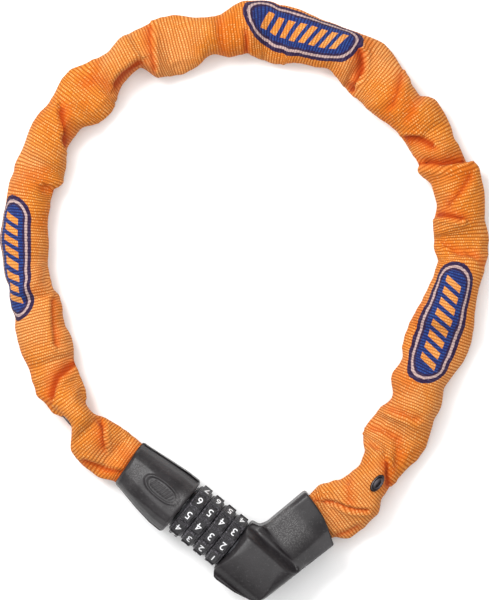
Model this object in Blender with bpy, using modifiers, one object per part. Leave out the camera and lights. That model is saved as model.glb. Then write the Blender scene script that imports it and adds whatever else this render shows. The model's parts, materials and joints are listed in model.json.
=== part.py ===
"""A closed combination chain lock, modelled in metres with +Z up.

It lies on a surface at z = 0, with the chain's loop in the XY plane. Two housings meet at the bottom of the
loop: the plug cap, which carries the locking bolt, and the elbow, which carries the slotted barrel with its
four number dials. The links between them run inside a textile sleeve.
"""

import math

import bmesh
import bpy
from mathutils import Matrix, Vector

COLLECTION = "combination_chain_lock"
CUTTERS = "combination_chain_lock_cutters"

# Everything is laid out on the drawing's own axes, and one empty moves it onto the bounding box's middle.
FRAME_SHIFT = Vector((0.0004040, 0.0015051, 0.0))
FIT = 0.0003  # gap between pieces that touch

# Lock axis: local Z runs from the plug cap to the elbow, local X points up.
AXIS_HEIGHT = 0.016
CAP_FACE = Vector((-0.03065, -0.10196, AXIS_HEIGHT))  # middle of the cap's face towards the dials
AXIS_HEADING = math.radians(-38.5)

# Dials and code rings
DIAL_COUNT = 4
DIAL_PITCH = 0.00755
FIRST_DIAL = 0.00505  # from the cap's face to the middle of the first dial
DIAL_LENGTH = 0.0071
DIAL_RADIUS = 0.01375
PAD_RADIUS = 0.0146
PAD_LENGTH = 0.005
PAD_COUNT = 10
PAD_WIDTH = 0.0072
PAD_ROOT = 0.0012  # how far a pad is sunk in its dial
PAD_TURNS = [math.radians(a) for a in (10, 17, 17, 17)]  # each dial's first pad, from the top
DIAL_LIP = 0.0011
CODE_RING_RADIUS = 0.0102
CODE_CAVITY_RADIUS = 0.0092
CODE_WEB = 0.0032
KEYWAY_WIDTH = 0.0034
KEY_WIDTH = 0.002
KEY_HEIGHT = 0.0011

# Barrel and bolt
BARREL_RADIUS = 0.0063
BARREL_BORE = 0.0043
BARREL_START = 0.0006
BARREL_END = 0.0425
BARREL_FLOOR = 0.0015
SLOT_WIDTH = 0.0032
SLOT_END = 0.0312
DETENT_FLAT = 0.0052
BOLT_RADIUS = 0.004
BOLT_START = -0.0113
BOLT_TIP = 0.0008
BOLT_HOLE_FLOOR = -0.0115
CROSS_PIN_PLACE = -0.0065
CROSS_PIN_RADIUS = 0.0012
CROSS_PIN_REACH = 0.0092
BOLT_END = 0.033
PEG_REACH = 0.0086
PEG_WIDTH = 0.0026
PEG_LENGTH = 0.0026
PEG_OFFSET = 0.0015  # from a dial's middle to the middle of its peg
SPRING_WIRE = 0.0007
SPRING_RADIUS = 0.0033
SPRING_TURNS = 4
RETAINER_RADIUS = 0.0118
RETAINER_LENGTH = 0.0007

# Chain
BAR = 0.006  # square bar
BAR_CHAMFER = 0.0015
LINK_COUNT = 25
LINK_WIDTH_INSIDE = 0.008
LINK_LENGTH_INSIDE = 0.02674
BOW_RADIUS = LINK_WIDTH_INSIDE / 2
BAR_PLAY = 0.00115  # along the chain, between two hooked bars
CHAIN_HEIGHT = 0.01135
FLAT_LINK_PIVOTS = LINK_LENGTH_INSIDE - 2 * BOW_RADIUS
EDGE_LINK_PIVOTS = LINK_LENGTH_INSIDE + 2 * BOW_RADIUS - 2 * BAR_PLAY
BOW_STEPS = 6
CHAIN_PIN_RADIUS = 0.0031
CHAIN_PIN_DEPTH = 0.0045  # behind the cap's mouth
CHAIN_PIN_LENGTH = 0.0114

# Route of the chain's middle, clockwise from the cap's mouth to the elbow's mouth.
ROUTE = [
    (-0.0700, -0.0735), (-0.0800, -0.0620), (-0.0900, -0.0465), (-0.0975, -0.0270), (-0.1035, -0.0050),
    (-0.1085, 0.0130), (-0.1100, 0.0320), (-0.1065, 0.0540), (-0.0990, 0.0760), (-0.0850, 0.0960),
    (-0.0640, 0.1170), (-0.0390, 0.1265), (-0.0120, 0.1330), (0.0140, 0.1345), (0.0430, 0.1268),
    (0.0650, 0.1120), (0.0850, 0.0920), (0.0990, 0.0670), (0.1070, 0.0440), (0.1090, 0.0200),
    (0.1030, -0.0010), (0.0960, -0.0230), (0.0880, -0.0440), (0.0780, -0.0660), (0.0650, -0.0860),
]

# Sleeve
SLEEVE_RADIUS = 0.0113
SLEEVE_WALL = 0.0005
SLEEVE_END_RADIUS = 0.0111
SLEEVE_END_HALF_HEIGHT = 0.0078
SLEEVE_END_FLAT = 0.0080  # length at the full squeeze
SLEEVE_END_TAPER = 0.007
SLEEVE_INSIDE = 0.0035  # how far the sleeve goes into each mouth
SLEEVE_RING_SPACING = 0.012
SLEEVE_BEVEL_STEPS = 5
SLEEVE_END_GAP = 0.003  # from an end ring to the next one, at least

# Plug cap
CAP_LENGTH = 0.033
CAP_MOUTH_HALF_WIDTH = 0.0125
CAP_CAVITY_DEPTH = 0.0205

# Elbow
ELBOW_FACE = 0.0316  # along the lock axis
ELBOW_MOUTH = Vector((0.0372, -0.10795, CHAIN_HEIGHT))
ELBOW_HEADING = math.radians(38.8)
ELBOW_HEIGHT = 0.0318
ELBOW_ROUNDING = 0.006
ELBOW_ARM_HEIGHT = 0.0262
ELBOW_ARM_LENGTH = 0.0385
ELBOW_OUTLINE = [
    (0.0037, -0.1099), (0.0075, -0.1120), (0.0113, -0.1105), (0.0302, -0.0948), (0.0378, -0.1075),
    (0.0443, -0.1211), (0.0105, -0.1475), (0.0072, -0.1492), (0.0030, -0.1486), (-0.0050, -0.1447),
    (-0.0140, -0.1383), (-0.0153, -0.1368), (-0.0152, -0.1334),
]
CORE_RADIUS = 0.0118
CORE_END = 0.046
PLUG_CORE_START = -0.0149
CLEVIS_HALF_WIDTH = 0.006
CLEVIS_HALF_HEIGHT = 0.0058
CLEVIS_SLOT = 0.0068
CLEVIS_NOSE = 0.0042  # past the pin's middle

# Rivets that hold the sleeve to the chain
RIVET_RADIUS = 0.0034
RIVET_HEIGHT = 0.0012
RIVET_TILT = math.radians(-60)  # towards the outside of the loop
RIVET_OFFSET = 0.0045  # from the link's middle, away from the nearer housing

STEEL = ((0.52, 0.52, 0.53), 0.35, 1.0)
ZINC = ((0.46, 0.46, 0.47), 0.5, 1.0)
HARDENED = ((0.30, 0.30, 0.31), 0.4, 1.0)
COVER = ((0.045, 0.045, 0.047), 0.55, 0.0)
DIAL_BLACK = ((0.02, 0.02, 0.021), 0.45, 0.0)
ORANGE = ((0.80, 0.22, 0.02), 0.9, 0.0)


def material(name, finish):
    """A Principled material from a colour, a roughness and a metallic value."""
    colour, roughness, metallic = finish
    found = bpy.data.materials.get(name)
    if found:
        return found
    made = bpy.data.materials.new(name)
    made.use_nodes = True
    shader = made.node_tree.nodes["Principled BSDF"]
    shader.inputs["Base Color"].default_value = (*colour, 1.0)
    shader.inputs["Roughness"].default_value = roughness
    shader.inputs["Metallic"].default_value = metallic
    return made


def collection(name):
    made = bpy.data.collections.new(name)
    bpy.context.scene.collection.children.link(made)
    return made


def empty(name, place, parent=None):
    """An empty at a place given as a matrix under its parent."""
    made = bpy.data.objects.new(name, None)
    bpy.data.collections[COLLECTION].objects.link(made)
    made.parent = parent
    made.matrix_local = place
    return made


def add(name, data, parent, look, place=None):
    """A sub-part from mesh or curve data."""
    made = bpy.data.objects.new(name, data)
    bpy.data.collections[COLLECTION].objects.link(made)
    made.parent = parent
    made.matrix_local = place or Matrix.Identity(4)
    if data.materials:
        data.materials.clear()
    data.materials.append(material(*look))
    return made


def cutter(name, data, parent, place=None):
    made = bpy.data.objects.new(name, data)
    bpy.data.collections[CUTTERS].objects.link(made)
    made.parent = parent
    made.matrix_local = place or Matrix.Identity(4)
    made.hide_render = True
    made.display_type = "WIRE"
    return made


def boolean(piece, other, operation):
    step = piece.modifiers.new(f"{operation.lower()}_{other.name}", "BOOLEAN")
    step.operation = operation
    step.solver = "EXACT"
    step.object = other


def mesh_from(name, build):
    """A mesh filled in by a function that works on a bmesh."""
    shape = bmesh.new()
    build(shape)
    bmesh.ops.recalc_face_normals(shape, faces=shape.faces)
    data = bpy.data.meshes.new(name)
    shape.to_mesh(data)
    shape.free()
    return data


def box_mesh(name, low, high):
    """A box between two corners."""
    low, high = Vector(low), Vector(high)

    def build(shape):
        place = Matrix.Translation((low + high) / 2) @ Matrix.Diagonal((*(high - low), 1))
        bmesh.ops.create_cube(shape, size=1.0, matrix=place)

    return mesh_from(name, build)


def cylinder_mesh(name, radius, low, high, steps=24):
    """A cylinder along Z between two heights."""

    def build(shape):
        bmesh.ops.create_cone(
            shape, cap_ends=True, segments=steps, radius1=radius, radius2=radius,
            depth=high - low, matrix=Matrix.Translation((0, 0, (low + high) / 2)),
        )

    return mesh_from(name, build)


def turned(name, profile, parent, look, steps=30, closed=True):
    """A turned piece about Z. The profile runs down its outer side; a closed one is a ring."""
    data = bpy.data.meshes.new(name)
    edges = [(i, i + 1) for i in range(len(profile) - 1)]
    if closed:
        edges.append((len(profile) - 1, 0))
    data.from_pydata([(r, 0, z) for r, z in profile], edges, [])
    piece = add(name, data, parent, look)
    screw = piece.modifiers.new("turn", "SCREW")
    screw.steps = screw.render_steps = steps
    screw.use_merge_vertices = True
    screw.merge_threshold = 0.00001
    screw.use_smooth_shade = False
    return piece


def tube_profile(inner, outer, low, high):
    """A plain ring's profile, down the outside and up the inside."""
    return [(outer, high), (outer, low), (inner, low), (inner, high)]


def superellipse(half_width, half_height, power, count):
    """Points round a rounded box, as (across, up) pairs."""
    points = []
    for i in range(count):
        angle = 2 * math.pi * i / count
        c, s = math.cos(angle), math.sin(angle)
        points.append((
            half_width * math.copysign(abs(c) ** (2 / power), c),
            half_height * math.copysign(abs(s) ** (2 / power), s),
        ))
    return points


def loft_mesh(name, sections, count=24):
    """A closed loft along local Z, through rounded-box sections.

    A section is (distance, middle across, middle up, half width, half height, power, lean), where lean is how
    much further along the loft the section's far side lies, per metre across.
    """

    def build(shape):
        rings = []
        for along, across, up, half_width, half_height, power, lean in sections:
            ring = []
            for y, x in superellipse(half_width, half_height, power, count):
                ring.append(shape.verts.new((up + x, across + y, along + lean * y)))
            rings.append(ring)
        for near, far in zip(rings, rings[1:]):
            for i in range(count):
                j = (i + 1) % count
                shape.faces.new((near[i], near[j], far[j], far[i]))
        shape.faces.new(rings[0])
        shape.faces.new(list(reversed(rings[-1])))

    return mesh_from(name, build)


def axis_matrix(place, heading):
    """Local Z along a heading in the XY plane, local X up, with its origin at a place."""
    forward = Vector((math.cos(heading), math.sin(heading), 0))
    up = Vector((0, 0, 1))
    across = forward.cross(up)
    turn = Matrix((up, across, forward)).transposed().to_4x4()
    return Matrix.Translation(place) @ turn


def dial_middle(index):
    return FIRST_DIAL + index * DIAL_PITCH


def spline_point(points, at):
    """A point on a smooth curve through a list of points, where at counts the points."""
    last = len(points) - 1
    start = min(int(at), last - 1)
    t = at - start
    a, b = points[max(start - 1, 0)], points[start]
    c, d = points[start + 1], points[min(start + 2, last)]
    return 0.5 * (
        2 * b + (c - a) * t + (2 * a - 5 * b + 4 * c - d) * t**2 + (3 * b - a - 3 * c + d) * t**3
    )


def walk(points, start, lengths):
    """Joints of a chain of straight pieces laid along a smooth curve from a start point."""
    joints = [start]
    at = 0.0
    step = 0.002
    for length in lengths:
        while at < len(points) - 1 and (spline_point(points, at) - joints[-1]).length < length:
            at += step
        low, high = at - step, at
        for _ in range(40):
            middle = (low + high) / 2
            if (spline_point(points, middle) - joints[-1]).length < length:
                low = middle
            else:
                high = middle
        joints.append(spline_point(points, high))
        at = high
    return joints


def cap_direction():
    return Vector((-math.cos(AXIS_HEADING), -math.sin(AXIS_HEADING), 0))


def cap_mouth():
    mouth = CAP_FACE + CAP_LENGTH * cap_direction()
    return Vector((mouth.x, mouth.y, CHAIN_HEIGHT))


def elbow_direction():
    return Vector((math.cos(ELBOW_HEADING), math.sin(ELBOW_HEADING), 0))


def chain_joints():
    """The chain's pivots, from the pin in the cap to the pin in the elbow."""
    start = cap_mouth() - CHAIN_PIN_DEPTH * cap_direction()
    first = [start + d * cap_direction() for d in (0, 0.012, 0.024)]
    middle = [Vector((x, y, CHAIN_HEIGHT)) for x, y in ROUTE]
    last = [ELBOW_MOUTH + d * elbow_direction() for d in (0.014, 0.0, -0.012, -0.024)]
    lengths = [EDGE_LINK_PIVOTS if i % 2 else FLAT_LINK_PIVOTS for i in range(LINK_COUNT)]
    return walk(first + middle + last, start, lengths)


def link_mesh():
    """A welded link of chamfered square bar, lying in the XY plane about its own middle."""
    half_side = FLAT_LINK_PIVOTS / 2
    reach = BOW_RADIUS + BAR / 2
    path = bpy.data.curves.new("link_path", "CURVE")
    path.dimensions = "3D"
    path.twist_mode = "Z_UP"
    line = path.splines.new("POLY")
    points = []
    for side in (1, -1):
        for i in range(BOW_STEPS + 1):
            angle = math.pi * (i / BOW_STEPS - 0.5)
            along = half_side + reach * math.cos(angle)
            points.append((side * along, side * reach * math.sin(angle), 0, 1))
    line.points.add(len(points) - 1)
    for point, place in zip(line.points, points):
        point.co = place
    line.use_cyclic_u = True

    outline = bpy.data.curves.new("bar_outline", "CURVE")
    section = outline.splines.new("POLY")
    half, flat = BAR / 2, BAR / 2 - BAR_CHAMFER
    corners = [(half, -flat), (half, flat), (flat, half), (-flat, half),
               (-half, flat), (-half, -flat), (-flat, -half), (flat, -half)]
    section.points.add(len(corners) - 1)
    for point, (x, y) in zip(section.points, corners):
        point.co = (x, y, 0, 1)
    section.use_cyclic_u = True
    bar = bpy.data.objects.new("bar_outline", outline)
    path.bevel_mode = "OBJECT"
    path.bevel_object = bar

    holder = bpy.data.objects.new("link_path", path)
    bpy.data.collections[CUTTERS].objects.link(bar)
    bpy.data.collections[CUTTERS].objects.link(holder)
    bpy.context.view_layer.update()
    swept = holder.evaluated_get(bpy.context.evaluated_depsgraph_get())
    data = bpy.data.meshes.new_from_object(swept)
    data.name = "chain_link"
    shape = bmesh.new()
    shape.from_mesh(data)
    bmesh.ops.remove_doubles(shape, verts=shape.verts, dist=0.00001)
    bmesh.ops.recalc_face_normals(shape, faces=shape.faces)
    shape.to_mesh(data)
    shape.free()
    bpy.data.objects.remove(holder)
    bpy.data.objects.remove(bar)
    return data


def build_chain(frame):
    """Links that lie flat and stand on edge in turn, each under an empty on its pivot."""
    joints = chain_joints()
    data = link_mesh()
    for i, (near, far) in enumerate(zip(joints, joints[1:])):
        heading = math.atan2(far.y - near.y, far.x - near.x)
        place = Matrix.Translation(near) @ Matrix.Rotation(heading, 4, "Z")
        pivot = empty(f"pivot_{i + 1:02d}", place, frame)
        stand = Matrix.Rotation(math.pi / 2 * (i % 2), 4, "X")
        middle = Matrix.Translation(((far - near).length / 2, 0, 0))
        add(f"chain_link_{i + 1:02d}", data, pivot, ("hardened_steel", HARDENED), middle @ stand)
    return joints


def sleeve_line(joints):
    """Points down the middle of the sleeve: straight along flat links, smooth between them."""
    knots = []
    for i in range(0, LINK_COUNT, 2):
        near, far = joints[i], joints[i + 1]
        knots += [near, (near + far) / 2, far]
    line = []
    for i in range(len(knots) - 1):
        parts = max(1, round((knots[i + 1] - knots[i]).length / SLEEVE_RING_SPACING))
        line += [spline_point(knots, i + k / parts) for k in range(parts)]
    line.append(knots[-1])
    starts = CHAIN_PIN_DEPTH - SLEEVE_INSIDE
    ends = (joints[-1] - ELBOW_MOUTH).length - SLEEVE_INSIDE
    first = joints[0] + starts * cap_direction()
    last = joints[-1] + ends * elbow_direction()
    clear = SLEEVE_END_GAP
    kept = [
        p for p in line
        if (p - joints[0]).length > starts + clear and (p - joints[-1]).length > ends + clear
    ]
    return [first] + kept + [last]


def build_sleeve(frame, joints):
    """The textile tube round the chain, flattened where it enters the mouths."""
    points = sleeve_line(joints)
    path = bpy.data.curves.new("sleeve_path", "CURVE")
    path.dimensions = "3D"
    path.twist_mode = "Z_UP"
    path.bevel_depth = SLEEVE_RADIUS
    path.bevel_resolution = SLEEVE_BEVEL_STEPS
    line = path.splines.new("POLY")
    line.points.add(len(points) - 1)
    for point, place in zip(line.points, points):
        point.co = (*place, 1)
    holder = bpy.data.objects.new("sleeve_path", path)
    bpy.data.collections[CUTTERS].objects.link(holder)
    bpy.context.view_layer.update()
    data = bpy.data.meshes.new_from_object(holder.evaluated_get(bpy.context.evaluated_depsgraph_get()))
    bpy.data.objects.remove(holder)
    for end, inner in ((points[0], points[1]), (points[-1], points[-2])):
        flatten_end(data, end, (inner - end).normalized())
    sleeve = add("chain_sleeve", data, frame, ("orange_textile", ORANGE))
    wall = sleeve.modifiers.new("wall", "SOLIDIFY")
    wall.thickness = SLEEVE_WALL
    wall.offset = -1
    return sleeve


def flatten_end(data, end, inward):
    """Draws a sleeve's points in towards the line that runs inward from one of its ends."""
    squeeze = SLEEVE_END_HALF_HEIGHT / SLEEVE_RADIUS
    narrow = SLEEVE_END_RADIUS / SLEEVE_RADIUS
    for vertex in data.vertices:
        offset = vertex.co - end
        along = offset.dot(inward)
        if offset.length < 3 * SLEEVE_RADIUS and along < SLEEVE_END_FLAT + SLEEVE_END_TAPER:
            at = max((along - SLEEVE_END_FLAT) / SLEEVE_END_TAPER, 0)
            ease = at * at * (3 - 2 * at)
            side = offset - along * inward
            side.z *= squeeze + (1 - squeeze) * ease
            side.xy *= narrow + (1 - narrow) * ease
            vertex.co = end + along * inward + side


def build_cap(axis, frame):
    """The plug cap's cover, its metal core and the pins in them."""
    drop = CHAIN_HEIGHT - AXIS_HEIGHT
    outer = [
        (0.0, 0.0010, 0.0, 0.0152, 0.0150, 2.4, 0.0),
        (-0.0012, 0.0012, 0.0, 0.0161, 0.0161, 2.6, 0.0),
        (-0.0080, 0.0012, -0.0005, 0.0160, 0.0158, 2.8, 0.0),
        (-0.0180, 0.0010, -0.0020, 0.0148, 0.0144, 2.8, 0.0),
        (-0.0270, 0.0006, 0.7 * drop, 0.0134, 0.0129, 2.6, 0.0),
        (-CAP_LENGTH + 0.0010, 0.0005, drop, CAP_MOUTH_HALF_WIDTH, 0.0117, 2.5, 0.0),
        (-CAP_LENGTH, 0.0005, drop, CAP_MOUTH_HALF_WIDTH - 0.0007, 0.0110, 2.5, 0.0),
    ]
    cover = add("plug_cap", loft_mesh("plug_cap", outer), axis, ("dark_cover", COVER))
    mouth = [
        (-CAP_LENGTH - 0.002, 0.0, drop, 0.0115, 0.0087, 2.6, 0.0),
        (-CAP_LENGTH + CAP_CAVITY_DEPTH, 0.0, drop, 0.0115, 0.0087, 2.6, 0.0),
    ]
    boolean(cover, cutter("cap_mouth_space", loft_mesh("cap_mouth_space", mouth), axis), "DIFFERENCE")
    pocket = cylinder_mesh("cap_core_space", CORE_RADIUS + FIT, PLUG_CORE_START - FIT, 0.002)
    boolean(cover, cutter("cap_core_space", pocket, axis), "DIFFERENCE")
    boolean(cover, below_floor(frame, "cap_floor"), "DIFFERENCE")

    block = cylinder_mesh("plug_core", CORE_RADIUS, PLUG_CORE_START, -0.0006, 20)
    core = add("plug_core", block, axis, ("zinc", ZINC))
    clevis = box_mesh(
        "plug_clevis",
        (drop - CLEVIS_HALF_HEIGHT, -CLEVIS_HALF_WIDTH, -CAP_LENGTH + CHAIN_PIN_DEPTH - CLEVIS_NOSE),
        (drop + CLEVIS_HALF_HEIGHT, CLEVIS_HALF_WIDTH, -CAP_LENGTH + CAP_CAVITY_DEPTH - FIT),
    )
    boolean(core, cutter("plug_clevis", clevis, axis), "UNION")
    gap = box_mesh(
        "plug_clevis_slot",
        (drop - CLEVIS_SLOT / 2, -0.012, -CAP_LENGTH), (drop + CLEVIS_SLOT / 2, 0.012, -0.0130),
    )
    boolean(core, cutter("plug_clevis_slot", gap, axis), "DIFFERENCE")
    bore = cylinder_mesh("plug_bolt_hole", BOLT_RADIUS + FIT, BOLT_HOLE_FLOOR, 0.01)
    boolean(core, cutter("plug_bolt_hole", bore, axis), "DIFFERENCE")
    hole = cross_pin_mesh("cross_pin_hole", FIT)
    boolean(core, cutter("cross_pin_hole", hole, axis, cross_pin_place()), "DIFFERENCE")
    add("bolt_cross_pin", cross_pin_mesh("bolt_cross_pin", 0.0), axis, ("steel", STEEL), cross_pin_place())
    return core


def cross_pin_mesh(name, gap):
    """The pin that holds the bolt in the plug core, or the hole for it with a gap all round."""
    reach = CROSS_PIN_REACH + gap
    return cylinder_mesh(name, CROSS_PIN_RADIUS + gap, -reach, reach, 12)


def cross_pin_place():
    return Matrix.Translation((0, 0, CROSS_PIN_PLACE)) @ Matrix.Rotation(math.pi / 2, 4, "X")


def below_floor(frame, name):
    """A slab under z = 0 that gives a housing its flat foot."""
    return cutter(name, box_mesh(name, (-0.2, -0.2, -0.02), (0.2, 0.2, 0.0)), frame)


def build_chain_pin(name, frame, place, core):
    """A pin through an end link and the clevis that holds it."""
    half = CHAIN_PIN_LENGTH / 2
    at = Matrix.Translation(place)
    hole = cylinder_mesh(f"{name}_hole", CHAIN_PIN_RADIUS + FIT, -0.02, 0.02, 16)
    boolean(core, cutter(f"{name}_hole", hole, frame, at), "DIFFERENCE")
    add(name, cylinder_mesh(name, CHAIN_PIN_RADIUS, -half, half, 16), frame, ("steel", STEEL), at)


def build_bolt(axis):
    """The locking bolt with a peg for each dial."""
    profile = [
        (0.0, BOLT_END), (BOLT_RADIUS - BOLT_TIP, BOLT_END), (BOLT_RADIUS, BOLT_END - BOLT_TIP),
        (BOLT_RADIUS, BOLT_START), (0.0, BOLT_START),
    ]
    bolt = turned("locking_bolt", profile, axis, ("steel", STEEL), 20, closed=False)
    for i in range(DIAL_COUNT):
        middle = dial_middle(i) + PEG_OFFSET
        peg = box_mesh(
            f"peg_{i + 1}",
            (BOLT_RADIUS / 2, -PEG_WIDTH / 2, middle - PEG_LENGTH / 2),
            (PEG_REACH, PEG_WIDTH / 2, middle + PEG_LENGTH / 2),
        )
        boolean(bolt, cutter(f"peg_{i + 1}", peg, axis), "UNION")
    hole = cross_pin_mesh("bolt_pin_hole", FIT)
    boolean(bolt, cutter("bolt_pin_hole", hole, axis, cross_pin_place()), "DIFFERENCE")


def build_barrel(axis):
    """The slotted barrel, its retaining ring, its detent strip and the ejector spring."""
    floor = BARREL_END - BARREL_FLOOR
    profile = [
        (0.0, BARREL_END), (BARREL_RADIUS, BARREL_END), (BARREL_RADIUS, BARREL_START),
        (BARREL_BORE, BARREL_START), (BARREL_BORE, floor), (0.0, floor),
    ]
    barrel = turned("slotted_barrel", profile, axis, ("steel", STEEL), 24, closed=False)
    slot = box_mesh("barrel_slot", (0.001, -SLOT_WIDTH / 2, -0.001), (0.010, SLOT_WIDTH / 2, SLOT_END))
    boolean(barrel, cutter("barrel_slot", slot, axis), "DIFFERENCE")
    flat = box_mesh("barrel_flat", (-0.009, -0.0022, 0.003), (-DETENT_FLAT, 0.0022, 0.0305))
    boolean(barrel, cutter("barrel_flat", flat, axis), "DIFFERENCE")
    strip = box_mesh(
        "detent_strip", (-DETENT_FLAT - 0.0007, -0.0018, 0.0034), (-DETENT_FLAT - FIT, 0.0018, 0.0301)
    )
    add("detent_strip", strip, axis, ("steel", STEEL))

    ring = turned(
        "retaining_ring",
        tube_profile(BARREL_RADIUS + FIT, RETAINER_RADIUS, BARREL_START, BARREL_START + RETAINER_LENGTH),
        axis, ("steel", STEEL), 28,
    )
    half = KEYWAY_WIDTH / 2
    opening = box_mesh("retaining_ring_gap", (0.001, -half, -0.002), (CODE_CAVITY_RADIUS, half, 0.004))
    boolean(ring, cutter("retaining_ring_gap", opening, axis), "DIFFERENCE")
    build_spring(axis, floor)


def build_spring(axis, floor):
    """A coil between the bolt's tip and the barrel's floor."""
    low, high = BOLT_END + SPRING_WIRE / 2 + FIT, floor - SPRING_WIRE / 2 - FIT
    count = SPRING_TURNS * 12
    path = bpy.data.curves.new("ejector_spring", "CURVE")
    path.dimensions = "3D"
    path.bevel_depth = SPRING_WIRE / 2
    path.bevel_resolution = 1
    path.use_fill_caps = True
    line = path.splines.new("POLY")
    line.points.add(count)
    for i, point in enumerate(line.points):
        angle = 2 * math.pi * SPRING_TURNS * i / count
        height = low + (high - low) * i / count
        point.co = (SPRING_RADIUS * math.cos(angle), SPRING_RADIUS * math.sin(angle), height, 1)
    add("ejector_spring", path, axis, ("steel", STEEL))


def build_dial(axis, index):
    """A number dial and the code ring that it turns, on an empty in the dial's middle."""
    number = index + 1
    hub = empty(f"dial_hub_{number}", Matrix.Translation((0, 0, dial_middle(index))), axis)
    half = DIAL_LENGTH / 2
    bore = CODE_RING_RADIUS + FIT
    outer = DIAL_RADIUS - DIAL_LIP
    dial = turned(
        f"number_dial_{number}",
        [(outer, half), (DIAL_RADIUS, half - DIAL_LIP), (DIAL_RADIUS, DIAL_LIP - half),
         (outer, -half), (bore, -half), (bore, half)],
        hub, ("dial_black", DIAL_BLACK),
    )
    for i in range(PAD_COUNT):
        pad = box_mesh(
            f"pad_{number}_{i}",
            (DIAL_RADIUS - PAD_ROOT, -PAD_WIDTH / 2, -PAD_LENGTH / 2),
            (PAD_RADIUS, PAD_WIDTH / 2, PAD_LENGTH / 2),
        )
        turn = Matrix.Rotation(PAD_TURNS[index] + 2 * math.pi * i / PAD_COUNT, 4, "Z")
        boolean(dial, cutter(f"pad_{number}_{i}", pad, hub, turn), "UNION")
    groove = box_mesh(
        f"dial_groove_{number}",
        (-CODE_RING_RADIUS - KEY_HEIGHT - FIT, -KEY_WIDTH / 2 - FIT, -half - 0.001),
        (-CODE_RING_RADIUS + 0.002, KEY_WIDTH / 2 + FIT, half + 0.001),
    )
    boolean(dial, cutter(f"dial_groove_{number}", groove, hub), "DIFFERENCE")

    web_end = -half + CODE_WEB
    ring = turned(
        f"code_ring_{number}",
        [(CODE_RING_RADIUS, half), (CODE_RING_RADIUS, -half), (BARREL_RADIUS + FIT, -half),
         (BARREL_RADIUS + FIT, web_end), (CODE_CAVITY_RADIUS, web_end), (CODE_CAVITY_RADIUS, half)],
        hub, ("zinc", ZINC), 24,
    )
    keyway = box_mesh(
        f"keyway_{number}",
        (0.004, -KEYWAY_WIDTH / 2, -half - 0.001),
        (CODE_CAVITY_RADIUS - 0.0002, KEYWAY_WIDTH / 2, half + 0.001),
    )
    boolean(ring, cutter(f"keyway_{number}", keyway, hub), "DIFFERENCE")
    key = box_mesh(
        f"key_{number}",
        (-CODE_RING_RADIUS - KEY_HEIGHT + FIT, -KEY_WIDTH / 2, -half + 0.0008),
        (-CODE_CAVITY_RADIUS - 0.0003, KEY_WIDTH / 2, half - 0.0008),
    )
    boolean(ring, cutter(f"key_{number}", key, hub), "UNION")


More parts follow.
